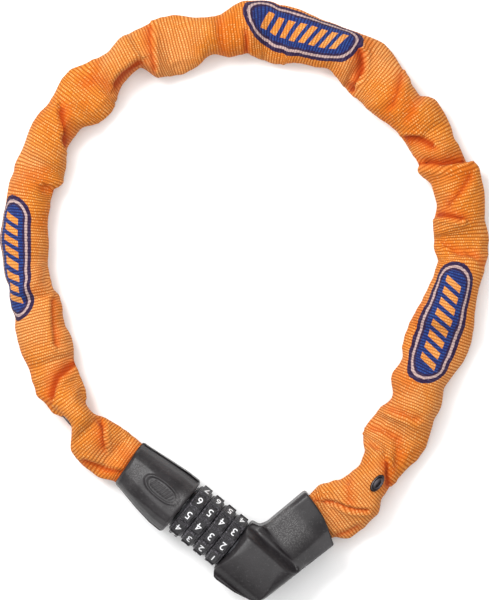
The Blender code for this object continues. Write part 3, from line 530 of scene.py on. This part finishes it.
def smooth_through(points, s):
    """Values at distances s of a smooth curve through the points, which never swings past any of them."""
    at, value = np.array(points, dtype=float).T
    step = np.diff(at)
    slope = np.diff(value) / step
    product = slope[:-1] * slope[1:]
    total = np.where(product > 0, slope[:-1] + slope[1:], 1.0)
    bend = np.concatenate([[0.0], np.where(product > 0, 2 * product / total, 0.0), [0.0]])
    i = np.clip(np.searchsorted(at, s, side="right") - 1, 0, len(step) - 1)
    u = np.clip((s - at[i]) / step[i], 0, 1)
    between = value[i] * (1 + 2 * u) * (1 - u) ** 2 + value[i + 1] * u**2 * (3 - 2 * u)
    return between + step[i] * u * (1 - u) * (bend[i] * (1 - u) - bend[i + 1] * u)


def link_height(s, middles_on_edge):
    """How high the chain reaches at a distance."""
    off = np.min(np.abs(s[:, None] - np.array(middles_on_edge)[None, :]), axis=1)
    past = np.clip(off - LINK_STRAIGHT, 0, LINK_REACH)
    raised = CHAIN_HEIGHT + np.sqrt(np.maximum(LINK_REACH**2 - past**2, 0))
    return np.maximum(raised, CHAIN_HEIGHT + FLAT_LINK_REACH)


def rings(route, s):
    """Fabric sections at distances s: offsets across and heights, with equal steps round each ring."""
    out, inner = smooth_through(OUTSIDE, s), smooth_through(INSIDE, s)
    half, middle = (out + inner) / 2, (out - inner) / 2
    round_length = FABRIC_ROUND * 0.985
    low = smooth_through(UNDERSIDE, s)
    side = np.clip(half / (round_length / 4), 0, 1.2)
    tall = np.sqrt(np.clip(2 * (round_length / (2 * math.pi)) ** 2 - half**2, 30, 400)) * 0.97
    tall = np.where(side > 1.1, np.minimum(tall, 9.0), tall)
    on_edge = [(route.pivots[i - 1] + route.pivots[i]) / 2 for i in range(2, LINKS, 2)]
    chain_top = link_height(s, on_edge)
    spread = np.linspace(-3.2, 3.2, 9)
    chain_top = np.mean([np.interp(s + d, s, chain_top) for d in spread], axis=0)
    in_mouth = 1 - ease(s, 0.0, 9.0) * (1 - ease(s, FAR_MOUTH - 9.0, FAR_MOUTH))
    top = np.maximum(low + 2 * tall, chain_top + 0.9)
    top = top * (1 - in_mouth) + MOUTH_TOP * in_mouth
    height = top - low
    narrow = np.minimum(out, inner)
    power = 2.0 + 0.9 * ease(-narrow, -8.5, -4.5) + 0.5 * in_mouth
    dense = np.linspace(-math.pi / 2, 1.5 * math.pi, 4 * AROUND + 1)
    c, d = np.cos(dense)[None, :], np.sin(dense)[None, :]
    p = np.where(d >= 0, power[:, None], 2.5)
    x = middle[:, None] + half[:, None] * np.sign(c) * np.abs(c) ** (2 / p)
    centre = (low + 0.44 * height)[:, None]
    reach = np.where(d >= 0, 0.56, 0.44) * height[:, None]
    z = centre + reach * np.sign(d) * np.abs(d) ** (2 / p)
    steps = np.hypot(np.diff(x), np.diff(z))
    run = np.concatenate([np.zeros((len(s), 1)), np.cumsum(steps, axis=1)], axis=1)
    share = np.linspace(0, 1, AROUND + 1)
    across = np.array([np.interp(share * r[-1], r, row) for r, row in zip(run, x)])
    up = np.array([np.interp(share * r[-1], r, row) for r, row in zip(run, z)])
    return across, up


def distance_to_line(s, offset, line):
    """Distance from each (s, offset) to a run of points, and which side of it that is: 1 left, -1 right."""
    best, side = np.full(s.shape, 1e9), np.ones(s.shape)
    for (s0, o0), (s1, o1) in zip(line, line[1:]):
        ds, do = s1 - s0, o1 - o0
        t = np.clip(((s - s0) * ds + (offset - o0) * do) / (ds * ds + do * do), 0, 1)
        off = np.hypot(s - s0 - t * ds, offset - o0 - t * do)
        side = np.where(off < best, np.sign(ds * (offset - o0) - do * (s - s0)), side)
        best = np.minimum(best, off)
    return best, side


def vertex_normals(grid):
    """Normals of a grid of rings, with the last column the first one again."""
    along = np.gradient(grid, axis=0)
    around = np.roll(grid[:, :-1], -1, axis=1) - np.roll(grid[:, :-1], 1, axis=1)
    around = np.concatenate([around, around[:, :1]], axis=1)
    n = np.cross(around, along)
    return n / np.linalg.norm(n, axis=2, keepdims=True)


def wrinkle(s, turn, offset):
    """Small folds: across the tube, and stronger where the fabric is gathered on the inside of a bend."""
    x, y = math.cos(turn), math.sin(turn)
    a = noise.noise(Vector((s / 5.5, 0.75 * x, 0.75 * y + 3.7)))
    b = noise.noise(Vector((s / 13 + 40, 1.3 * x, 1.3 * y + 10.7)))
    c = noise.noise(Vector((s / 2.6 + 90, x, y + 16.7)))
    gathered = min(max((-offset - 3) / 8, 0.0), 1.0)
    return (0.45 + 0.35 * gathered) * a + 0.55 * b + (0.12 + 0.24 * gathered) * c


def creased(distance, across, on_top):
    """How far the creases push the fabric out, and how much painted shade they lay in the folds."""
    push, painted_fold_shade = np.zeros(across.shape), np.zeros(across.shape)
    for line, depth, width, fold_shade_strength, sink in CREASES:
        d, hand = distance_to_line(distance, across, line)
        sunk = ease(hand * np.sign(sink) * d, 0.0, 0.8) if sink else np.zeros(d.shape)
        reach = width + sunk * max(abs(sink) - width, 0)
        push -= on_top * depth * hump(d, reach)
        push += on_top * (1 - sunk) * 0.5 * depth * hump(d - 2.3 * width, 1.1 * width)
        # painted shade along each fold, wider on the side where the fabric sinks
        painted_fold_shade = np.maximum(painted_fold_shade, on_top * fold_shade_strength * hump(d, 1.1 * width + 0.75 * (reach - width)))
    return push, painted_fold_shade


def lap_over(grid, distance, across, on_top, normal, ahead, painted_fold_shade):
    """Adds the fold that laps over its neighbour to grid: a lip that leans back over a tuck. It adds painted
    shade in the tuck as well.
    """
    step_at, step_offset = zip(*STEP_FOLD)
    beyond = distance - np.interp(across, step_offset, step_at)
    lifted = on_top * (0.9 * hump(beyond - 2.2, 2.2) - 0.8 * hump(beyond + 1.6, 1.9))
    grid += normal * lifted[..., None]
    shear = -1.5 * on_top * hump(beyond - 1.1, 1.6)
    grid[..., :2] += shear[..., None] * ahead[:, None, :]
    # painted shade in the tuck under the lip
    np.maximum(painted_fold_shade, on_top * 0.9 * hump(beyond + 0.9, 1.2), out=painted_fold_shade)


def sleeve_grid(route, s):
    """The whole sleeve before it is cut: points in metres, the painted shade in its folds, and each ring's
    offsets.
    """
    across, up = rings(route, s)
    place, side, ahead = route.point(s), route.outward(s), route.tangent(s)
    grid = np.zeros(across.shape + (3,))
    grid[..., 0] = place[:, None, 0] + across * side[:, None, 0]
    grid[..., 1] = place[:, None, 1] + across * side[:, None, 1]
    grid[..., 2] = up
    normal = vertex_normals(grid)
    distance = np.repeat(s[:, None], AROUND + 1, axis=1)
    on_top = ease(normal[..., 2], -0.25, 0.25)
    push, painted_fold_shade = creased(distance, across, on_top)
    free = ease(s, 3.0, 12.0) * (1 - ease(s, FAR_MOUTH - 12.8, FAR_MOUTH - 3.0))
    turns = np.linspace(0, 2 * math.pi, AROUND + 1)
    small = np.array([[wrinkle(a, turn, o) for turn, o in zip(turns, row)] for a, row in zip(s, across)])
    push += small * free[:, None] * (0.3 + 0.7 * on_top)
    # painted shade wherever the fabric is pushed in
    painted_fold_shade = np.maximum(painted_fold_shade, 0.55 * ease(-push, 0.55, 1.3))
    grid += normal * push[..., None]
    lap_over(grid, distance, across, on_top, normal, ahead, painted_fold_shade)
    grid[..., 2] = np.maximum(grid[..., 2], LOWEST_FABRIC)
    return grid * MM, painted_fold_shade, across


def keep_off_chain(grid, gap=0.0005, start=0.008):
    """Lifts the fabric wherever a link would reach through it, with a soft slope round each such place."""
    shape = bmesh.new()
    for i in range(1, LINKS + 1):
        shape.from_mesh(nodes[f"chain_link_{i:02d}"].data)
    tree = bvhtree.BVHTree.FromBMesh(shape)
    shape.free()
    normal = vertex_normals(grid)
    lift = np.zeros(grid.shape[:2])
    for i, j in np.ndindex(*lift.shape):
        out = Vector(normal[i, j])
        distance = tree.ray_cast(Vector(grid[i, j]) + out * start, -out, start + gap)[3]
        if distance is not None:
            lift[i, j] = start + gap - distance
    soft = lift.copy()
    for _ in range(2):
        padded = np.concatenate([soft[:, -3:-1], soft, soft[:, 1:3]], axis=1)
        around = sum(padded[:, k : k + soft.shape[1]] for k in range(5)) / 5
        soft = (around + np.roll(around, 1, axis=0) + np.roll(around, -1, axis=0)) / 3
        soft = np.maximum(lift, soft)
    return grid + normal * soft[..., None]


def badge_places(s, across):
    """Each point's place on its badge in metres, round the tube and along it, or far away from any."""
    places = np.full(across.shape + (2,), 1.0)
    round_at = np.linspace(0, FABRIC_ROUND, AROUND + 1)
    top = slice(AROUND // 4, AROUND - AROUND // 4)
    for s0, s1, line, shift, width in BADGES:
        near = np.where((s > s0 - 8) & (s < s1 + 8))[0]
        offsets = np.interp(s[near], *zip(*line))
        found = [np.interp(o, across[i, top][::-1], round_at[top][::-1]) for i, o in zip(near, offsets)]
        bend = np.polyfit(s[near] - s0, found, 3)
        off = round_at[None, :] - np.polyval(bend, s[near] - s0)[:, None] - shift
        along = s[near] - (s0 + s1) / 2
        places[near, :, 0] = off * MM * BADGE_WIDTH / width
        places[near, :, 1] = (along * MM * BADGE_LENGTH / (s1 - s0))[:, None]
    return places


def sleeve_piece(name, rows, s, grid, normals, painted_fold_shade, badges, material):
    """One open tube of fabric, the rings in rows, with the whole sleeve's normals and thread lines."""
    a, b = rows
    count, wide = b - a + 1, AROUND
    points = grid[a : b + 1, :wide].reshape(-1, 3)
    faces, corners = [], []
    for i in range(count - 1):
        for j in range(wide):
            k = (j + 1) % wide
            faces.append((i * wide + j, i * wide + k, (i + 1) * wide + k, (i + 1) * wide + j))
            corners += [(a + i, j), (a + i, j + 1), (a + i + 1, j + 1), (a + i + 1, j)]
    made = piece(name, points, faces, material)
    data = made.data
    corners = np.array(corners)
    weave = data.uv_layers.new(name="weave")
    round_at = np.linspace(0, FABRIC_ROUND, wide + 1) * MM
    uv = np.stack([round_at[corners[:, 1]], s[corners[:, 0]] * MM], axis=1)
    weave.data.foreach_set("uv", uv.astype(np.float32).ravel())
    badge = data.uv_layers.new(name="badge")
    badge.data.foreach_set("uv", badges[corners[:, 0], corners[:, 1]].astype(np.float32).ravel())
    # the painted shade in the folds, stored for the material
    set_attribute(data, "painted_crease_shade", painted_fold_shade[a : b + 1, :wide].ravel())
    data.normals_split_custom_set_from_vertices(normals[a : b + 1, :wide].reshape(-1, 3).tolist())
    return made


def sleeve_cuts(route):
    """The sleeve's pieces, one for each hinge in the chain: its ends, its two bodies, and where it bends."""
    hinges = sorted(
        (route.nearest(np.array(j["pos_m"])[:2] / MM), j["parent"], j["child"])
        for j in frame["joints"] if j["name"].startswith("link_")
    )
    opened = route.pivots[OPEN_PIVOT]
    near = [h for h in hinges if h[0] < opened - 1]
    far = [(at, child, parent) for at, parent, child in hinges if at > opened - 1]
    cuts = []
    for run, first, last in ((near, SLEEVE_ENDS[0], opened), (far, opened, SLEEVE_ENDS[1])):
        edges = [first] + [(a[0] + b[0]) / 2 for a, b in zip(run, run[1:])] + [last]
        edges = [np.clip(x, END_CUTS[0], END_CUTS[1]) if x not in SLEEVE_ENDS else x for x in edges]
        for (pivot, a, b), low, high in zip(run, edges, edges[1:]):
            reach = min(BLEND_REACH, abs(high - pivot) - 0.3, abs(pivot - low) - 0.3)
            begin, end = MOUTH_BENDS.get(low if low in SLEEVE_ENDS else high, (pivot - reach, pivot + reach))
            cuts.append((low, high, a, b, begin, end))
    return cuts


def build_sleeve(material):
    """All the sleeve's pieces. Returns its distances, points, offsets and normals, for the rivets."""
    route = Route(chain_pivots())
    cuts = sleeve_cuts(route)
    s, rows = [], []
    for low, high, *_ in cuts:
        count = max(2, round((high - low) / RING_STEP))
        rows.append((len(s), len(s) + count))
        s += list(np.linspace(low, high, count, endpoint=False))
    s = np.array(s + [cuts[-1][1]])
    grid, painted_fold_shade, across = sleeve_grid(route, s)
    grid = keep_off_chain(grid)
    normals = vertex_normals(grid)
    badges = badge_places(s, across)
    for number, (cut, span) in enumerate(zip(cuts, rows), 1):
        low, high, a, b, begin, end = cut
        tube = sleeve_piece(f"sleeve_{number:02d}", span, s, grid, normals, painted_fold_shade, badges, material)
        at = [(*(route.point(x) * MM), CHAIN_HEIGHT * MM) for x in (begin, end)]
        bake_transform(tube, a, b, start=at[0], end=at[1])
    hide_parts("chain_sleeve")
    return s, grid, across, normals


# -------------------------------- the lock
# Places here are in metres, and sizes in millimetres.
# Lock frame: t is the distance ahead of the cap's face along the dials' axis, w the distance from that axis
# towards the lower left, and z the height.
FORWARD = Vector((0.782608, -0.622515, 0))
ACROSS = Vector((-0.622515, -0.782608, 0))
UP = Vector((0, 0, 1))
AXIS_HEIGHT = 0.016
AXIS_ORIGIN = Vector((-0.030246, -0.100455, AXIS_HEIGHT))
LOCK = Matrix.Translation(AXIS_ORIGIN) @ Matrix((UP, ACROSS, FORWARD)).transposed().to_4x4()

# The elbow's arm over the chain: a is the distance ahead of its mouth, and b the distance to the left.
ELBOW_MOUTH = Vector((0.037604, -0.106445, CHAIN_HEIGHT * MM))
ARM_FORWARD = Vector((0.779338, 0.626604, 0))
ARM_LEFT = Vector((-0.626604, 0.779338, 0))

DIALS = 4
DIAL_RADIUS = 13.75
DIAL_BORE = 10.55
DIAL_SIDE = 3.55  # half a dial's width
DIAL_STEPS = 360  # mesh steps round a dial
PADS = 10
PAD_RADIUS = 14.6
PAD_WIDTH = 7.2
PAD_LENGTH = 5.0
PAD_TURNS = [math.radians(a) for a in (5, 11, 11, 11)]
FIRST_DIGITS = (5, 4, 3, 2)
DIGIT_SIZE = 5.8

CAP_VOXEL = 0.42  # mesh size of the housings
ELBOW_VOXEL = 0.55
CREST = 31.8  # heights of the elbow's top: over the barrel, over the chain, and the lowest
CHAIN_ARM = 26.5
ELBOW_LOWEST = 23.8

# A rivet's oval head, from its edge inwards: distance from the middle and height.
RIVET_PROFILE = [
    (4.9, -0.8), (4.95, 0.1), (4.6, 0.6), (4.1, 0.75), (3.6, 0.5), (3.2, 0.15), (2.2, 0.4), (1.1, 0.55),
]
RIVET_MIDDLE = 0.52
RIVET_NARROW = 0.52  # the head's width as a share of its length
RIVET_STEPS = 40
RIVETS = {"plug_side": (37.2, 6.9), "elbow_side": (591, 5.4)}  # distance from the cap's mouth and offset


def dial_height(angle, along, turn):
    """A dial's radius at a place: rounded pads with a groove between them, and a low lip at each side."""
    step = 2 * math.pi / PADS
    off = (angle - turn + step / 2) % step - step / 2
    across = abs(off) * PAD_RADIUS
    pad = 1 - ease(np.array(across), PAD_WIDTH / 2 - 0.3, PAD_WIDTH / 2)
    pad = pad * (1 - ease(np.array(abs(along)), PAD_LENGTH / 2 - 0.25, PAD_LENGTH / 2 + 0.1))
    flat = PAD_RADIUS / math.cos(min(abs(off), 0.24)) - 0.2
    lip = 0.4 * float(ease(np.array(abs(along)), 2.9, DIAL_SIDE)) ** 2
    return (DIAL_RADIUS - 0.35 - lip) * (1 - float(pad)) + flat * float(pad)


def digit_mesh(digit):
    """A digit as a thin solid in the XY plane, centred."""
    text = bpy.data.curves.new(f"digit_{digit}", "FONT")
    text.body = str(digit)
    text.size = DIGIT_SIZE * MM
    text.extrude = 0.06 * MM
    text.resolution_u = 4
    text.align_x, text.align_y = "CENTER", "CENTER"
    holder = bpy.data.objects.new(text.name, text)
    bpy.context.scene.collection.objects.link(holder)
    bpy.context.view_layer.update()
    data = bpy.data.meshes.new_from_object(holder.evaluated_get(bpy.context.evaluated_depsgraph_get()))
    bpy.data.objects.remove(holder)
    points = coordinates(data)
    middle = (points.min(0) + points.max(0)) / 2
    data.transform(Matrix.Translation(-Vector(middle)))
    return data


def ring_faces(count, here, after):
    """The four-sided faces between two rings of count points that start at the indices here and after."""
    return [(here + i, after + i, after + (i + 1) % count, here + (i + 1) % count) for i in range(count)]


def dial_body(name, turn, material):
    """A dial's bored body with its pads, along Z."""
    top, edge, lip = np.linspace(0.5, 2.2, 4), np.linspace(2.25, 2.6, 6), np.linspace(2.7, DIAL_SIDE, 5)
    half = np.concatenate([top, edge, lip])
    spots = np.concatenate([-half[::-1], half])
    profile = [(DIAL_BORE, -DIAL_SIDE)] + [(None, along) for along in spots] + [(DIAL_BORE, DIAL_SIDE)]
    points, faces = [], []
    for radius, along in profile:
        for i in range(DIAL_STEPS):
            angle = 2 * math.pi * i / DIAL_STEPS
            r = radius if radius is not None else dial_height(angle, along, turn)
            points.append((r * math.cos(angle) * MM, r * math.sin(angle) * MM, along * MM))
    for level in range(len(profile)):
        after = (level + 1) % len(profile)
        faces += ring_faces(DIAL_STEPS, level * DIAL_STEPS, after * DIAL_STEPS)
    return piece(name, points, faces, material)


def add_digit(shape, digit, angle):
    """Adds a painted digit to a dial's mesh, on the pad at an angle."""
    before = len(shape.verts)
    first_face = len(shape.faces)
    shape.from_mesh(digit)
    shape.verts.ensure_lookup_table()
    shape.faces.ensure_lookup_table()
    out = Vector((math.cos(angle), math.sin(angle), 0))
    glyph_up = Vector((-math.sin(angle), math.cos(angle), 0))
    reading = Vector((0, 0, -1))
    base = Matrix((reading, glyph_up, out)).transposed().to_4x4()
    base = Matrix.Translation(out * (PAD_RADIUS - 0.14) * MM) @ base
    for vertex in shape.verts[before:]:
        vertex.co = base @ vertex.co
    for face in shape.faces[first_face:]:
        face.material_index = 1
        face.smooth = False


def build_dial(number, black, white, digits):
    """A number dial: a fine body with pads, and a painted digit on each pad."""
    turn = PAD_TURNS[number - 1]
    dial = dial_body(f"dial_{number}_detailed", turn, black)
    dial.data.materials.append(white)
    shape = bmesh.new()
    shape.from_mesh(dial.data)
    bmesh.ops.recalc_face_normals(shape, faces=shape.faces)
    for k in range(PADS):
        digit = digits[(FIRST_DIGITS[number - 1] - k) % 10]
        add_digit(shape, digit, turn + 2 * math.pi * k / PADS)
    shape.to_mesh(dial.data)
    shape.free()
    hub = Matrix.Translation(Vector(joint_of[f"dial_{number}_turn"]["pos_m"]))
    dial.matrix_world = hub @ LOCK.to_3x3().to_4x4()
    bpy.context.view_layer.update()
    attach(dial, f"dial_{number}")
    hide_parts(f"number_dial_{number}")


def fine_copy(node, name, voxel, rounds, material):
    """A fine, evenly meshed copy of a CAD node with softened edges."""
    data = nodes[node].data.copy()
    data.materials.clear()
    made = bpy.data.objects.new(name, data)
    bpy.context.scene.collection.objects.link(made)
    remesh = made.modifiers.new("voxels", "REMESH")
    remesh.mode = "VOXEL"
    remesh.voxel_size = voxel * MM
    remesh.adaptivity = 0.0
    bpy.context.view_layer.update()
    fine = bpy.data.meshes.new_from_object(made.evaluated_get(bpy.context.evaluated_depsgraph_get()))
    made.modifiers.clear()
    made.data = fine
    fine.name = name
    fine.materials.clear()
    fine.materials.append(material)
    relax(fine, rounds)
    fine.polygons.foreach_set("use_smooth", np.ones(len(fine.polygons), bool))
    return made


def relax(data, rounds, weight=0.5, mask=None):
    """Moves each vertex part of the way to its neighbours' middle, some rounds over."""
    edges = np.zeros(len(data.edges) * 2, np.int32)
    data.edges.foreach_get("vertices", edges)
    a, b = edges.reshape(-1, 2).T
    points = coordinates(data)
    degree = np.bincount(a, minlength=len(points)) + np.bincount(b, minlength=len(points))
    count = len(points)
    for _ in range(rounds):
        total = np.zeros_like(points)
        for k in range(3):
            total[:, k] = np.bincount(a, points[b, k], count) + np.bincount(b, points[a, k], count)
        step = weight * (total / degree[:, None] - points)
        points += step if mask is None else step * mask[:, None]
    data.vertices.foreach_set("co", points.ravel())
    data.update()


def lock_places(points):
    """Points in the lock frame, as t, w and z in millimetres."""
    off = points - np.array(AXIS_ORIGIN)
    return off @ np.array(FORWARD) / MM, off @ np.array(ACROSS) / MM, points[:, 2] / MM


def build_cap(material):
    """The plug cap: its top slopes to a steep upper right flank, with a bevel and the embossed oval."""
    cap = fine_copy("plug_cap", "plug_cap_detailed", CAP_VOXEL, 3, material)
    data = cap.data
    points, normals = coordinates(data), mesh_normals(data)
    t, w, z = lock_places(points)
    upper = ease(normals[:, 2], -0.05, 0.4) * ease(z, 11, 18)
    # the flank towards the inside of the loop and the bevel on the other side fall away from a broad top
    flank = np.clip(-w - 3.5, 0, 20)
    bevel = np.clip(w - 10.4 + 0.04 * t, 0, 20)
    drop = 0.1 * flank**1.65 + 0.4 * bevel
    points[:, 2] -= upper * drop * ease(-t, 0.0, 2.0) * MM
    # the embossed oval with plain ribs, along the lock's axis
    at, off = (t + 13.2) / 9.4, (w + 0.2) / 4.0
    r = (np.abs(at) ** 2.3 + np.abs(off) ** 2.3) ** (1 / 2.3)
    rim = hump(r - 1.0, 0.1)
    ribs = ease(-np.abs(off), -0.62, -0.45) * ease(-r, -0.8, -0.68)
    ribs = ribs * (0.5 + 0.5 * np.cos(2 * math.pi * (t + 0.4 * w) / 1.7))
    lift = 0.55 * rim + 0.45 * ribs - 0.3 * (1 - ease(r, 0.78, 0.96))
    points += normals * (ease(normals[:, 2], 0.3, 0.7) * lift * MM)[:, None]
    # a thin raised band round the mouth
    band = hump(t + 31.6, 0.7) * ease(np.abs(normals[:, 2]) + np.abs(w) / 14, 0.5, 0.9)
    outside = ease(np.hypot(w, z - CHAIN_HEIGHT), 11.4, 12.2)
    points += normals * (0.22 * band * outside * MM)[:, None]
    # the mouth's edge slants: it reaches further on the inside of the loop
    reach = (1.3 - 0.08 * np.clip(w, -12, 12)) * ease(-t, 26, 32.5)
    points -= np.outer(reach * MM, np.array(FORWARD))
    data.vertices.foreach_set("co", points.ravel())
    data.update()
    # grain marked near the mouth and by the dials, which the material also paints lighter as a highlight
    by_mouth = hump(t + 27.5, 3.0) * hump(w - 1, 5.5)
    by_dials = hump(t + 3.4, 2.8) * hump(w + 1.5, 6)
    set_attribute(data, "pebble_and_highlight", np.clip(by_mouth + by_dials, 0, 1) * upper)
    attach(cap, "plug")
    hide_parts("plug_cap")


def build_elbow(material):
    """The elbow: a crowned arm with a wide bevel, a valley and a ridge, and a flatter arm over the chain."""
    elbow = fine_copy("elbow_housing", "elbow_housing_detailed", ELBOW_VOXEL, 3, material)
    data = elbow.data
    points, normals = coordinates(data), mesh_normals(data)
    t, w, z = lock_places(points)
    off = (points - np.array(ELBOW_MOUTH)) / MM
    a = off @ np.array(ARM_FORWARD)
    b = off @ np.array(ARM_LEFT)
    on_top = ease(normals[:, 2], -0.1, 0.35) * ease(z, 19, 21.5)
    # the arm over the barrel: a crest, a slope to a bevel at the lower left, and a rounded fin
    slope = 0.012 * np.clip(w + 4.5, 0, 30) ** 2
    bevel = 0.6 * np.clip(w - 11.8 - 0.02 * (t - 34), 0, 20)
    barrel_arm = CREST - slope - bevel - 0.03 * np.clip(-w - 6, 0, 20) ** 2
    # the arm over the chain: crowned, with a bevel along its upper left edge
    crown = 0.016 * np.clip(5 - b, 0, 40) ** 2
    chain_arm = CHAIN_ARM - crown - 0.9 * np.clip(b - 12.4, 0, 5) - 0.02 * np.clip(a + 16, 0, 20)
    # between them a wide valley and a narrow ridge, both slanting across
    valley = a + 26.8 + 0.174 * b
    share = ease(valley, -3.4, 0.6)
    # the step the CAD has there is taken down as well
    step = hump(valley - 1.5, 4.5, 4) * ease(13.0 - np.abs(b), 0, 1.5) * ease(z, 19, 21.5)
    on_top = np.maximum(on_top, step)
    target = barrel_arm * (1 - share) + chain_arm * share
    target -= 1.9 * hump(valley - 0.4, 1.4) * ease(-b, -17, -12)
    target += 0.6 * hump(valley - 2.6, 0.9) * ease(-b, -9, -4)
    target = np.maximum(target, ELBOW_LOWEST)
    lowered = np.minimum(z, target)
    flat = ease(z, 22, 25)
    z_new = z + on_top * (lowered - z) * np.maximum(np.maximum(flat, ease(w, 9, 12)), step)
    points[:, 2] = z_new * MM
    # the mouth's face bulges a little
    bulge = 1.2 * (1 - np.clip(b / 14.4, -1, 1) ** 2) * ease(a, -5, 0)
    points += np.outer(bulge * MM, np.array(ARM_FORWARD))
    data.vertices.foreach_set("co", points.ravel())
    data.update()
    relax(data, 3)
    relax(data, 22, mask=on_top * hump(valley - 1.0, 4.8, 4))
    # grain marked on the chain arm's upper left, which the material also paints lighter as a highlight
    pebbling_and_highlight = ease(a, -24, -21) * (1 - ease(a, -11, -4)) * ease(b, -9, 2)
    set_attribute(data, "pebble_and_highlight", pebbling_and_highlight * on_top)
    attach(elbow, "elbow")
    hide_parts("elbow_housing")


def build_rivet(name, node, s_at, offset_at, sleeve, material):
    """A dark oval rivet head with a rolled rim, set in the fabric."""
    s, grid, across, normals = sleeve
    row = int(np.argmin(np.abs(s - s_at)))
    half = range(AROUND // 5, AROUND - AROUND // 5)
    column = min(half, key=lambda j: abs(across[row, j] - offset_at))
    normal = Vector(normals[row, column]).normalized()
    ahead = Vector(grid[row + 2, column] - grid[row - 2, column]).normalized()
    side = normal.cross(ahead).normalized()
    turn = Matrix((ahead, side, normal)).transposed().to_4x4()
    turn.translation = Vector(grid[row, column]) + normal * 0.0002
    points = []
    for radius, height in RIVET_PROFILE:
        for i in range(RIVET_STEPS):
            angle = 2 * math.pi * i / RIVET_STEPS
            across_head = RIVET_NARROW * radius * math.sin(angle)
            points.append((radius * math.cos(angle) * MM, across_head * MM, height * MM))
    points.append((0, 0, RIVET_MIDDLE * MM))
    faces = []
    last = (len(RIVET_PROFILE) - 1) * RIVET_STEPS
    for ring in range(0, last, RIVET_STEPS):
        faces += ring_faces(RIVET_STEPS, ring + RIVET_STEPS, ring)
    faces += [(last + i, last + (i + 1) % RIVET_STEPS, len(points) - 1) for i in range(RIVET_STEPS)]
    head = piece(name, points, faces, material)
    head.matrix_world = turn
    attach(head, body_of(nodes[node])[0])
    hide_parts(node)


# -------------------------------- build
fabric = fabric_material()
plastic = cover_material()
black = dial_material()
white = paint_material()
metals = {
    "steel": metal_material("steel_drawn", (0.42, 0.42, 0.43, 1), (0.6, 0.6, 0.61, 1), 0.3, 0.2),
    "zinc": metal_material("zinc_cast", (0.36, 0.36, 0.37, 1), (0.52, 0.52, 0.54, 1), 0.48, 1.0),
    "blackened": metal_material("steel_blackened", (0.02, 0.02, 0.022, 1), (0.06, 0.06, 0.065, 1), 0.45, 0.3),
    "hardened": metal_material("steel_hardened", (0.2, 0.2, 0.21, 1), (0.34, 0.34, 0.35, 1), 0.42, 1.0),
}
rivet_metal = metal_material("rivet_dark", (0.02, 0.018, 0.022, 1), (0.09, 0.08, 0.085, 1), 0.3, 1.0)


def metal_kind(name):
    """Which metal an inner piece is made of."""
    if name in ("retaining_ring", "slotted_barrel", "elbow_core", "plug_core"):
        return "blackened"
    if name == "detent_strip":
        return "steel"
    if "link" in name or "bolt" in name:
        return "hardened"
    return "steel" if "pin" in name or "spring" in name else "zinc"


for name, node in nodes.items():
    for slot in node.material_slots:
        slot.material = metals[metal_kind(name)]

sleeve = build_sleeve(fabric)
digits = {d: digit_mesh(d) for d in range(10)}
for number in range(1, DIALS + 1):
    build_dial(number, black, white, digits)
build_cap(plastic)
build_elbow(plastic)
for name, (s_at, offset_at) in RIVETS.items():
    build_rivet(f"rivet_{name}", f"sleeve_rivet_{name}", s_at, offset_at, sleeve, rivet_metal)

# -------------------------------- floor, light and camera
corners = [(x * FLOOR_REACH, y * FLOOR_REACH, 0) for x, y in ((-1, -1), (1, -1), (1, 1), (-1, 1))]
matt = Shader("floor").finish(Base_Color=FLOOR_COLOR, Roughness=0.9, Specular_IOR_Level=0.0)
floor = piece("floor", corners, [(0, 1, 2, 3)], matt, smooth=False)

world = bpy.data.worlds.new("studio")
world.use_nodes = True
world.node_tree.nodes["Background"].inputs["Color"].default_value = (1, 1, 1, 1)
world.node_tree.nodes["Background"].inputs["Strength"].default_value = WORLD_LIGHT
bpy.context.scene.world = world


def softbox(name, place, size, power):
    """A rectangular lamp that faces the part."""
    data = bpy.data.lights.new(name, "AREA")
    data.shape = "RECTANGLE"
    data.size, data.size_y = size
    data.energy = power
    lamp = bpy.data.objects.new(name, data)
    lamp.location = Vector(place)
    lamp.rotation_mode = "QUATERNION"
    lamp.rotation_quaternion = (Vector(place) - Vector((0, 0, 0.01))).to_track_quat("Z", "Y")
    bpy.context.scene.collection.objects.link(lamp)


softbox("top_light", *TOP_LIGHT)
softbox("key_light", *KEY_LIGHT)

data = bpy.data.cameras.new("camera")
camera = bpy.data.objects.new("camera", data)
data.sensor_width = SENSOR_WIDTH
data.lens = SENSOR_WIDTH * CAMERA_DISTANCE / VIEW_LENGTH
data.clip_start, data.clip_end = 0.05, 20
camera.location = (*VIEW_MIDDLE, AXIS_HEIGHT + CAMERA_DISTANCE)
bpy.context.scene.collection.objects.link(camera)
bpy.context.scene.camera = camera
bpy.context.scene.view_settings.view_transform = "Standard"
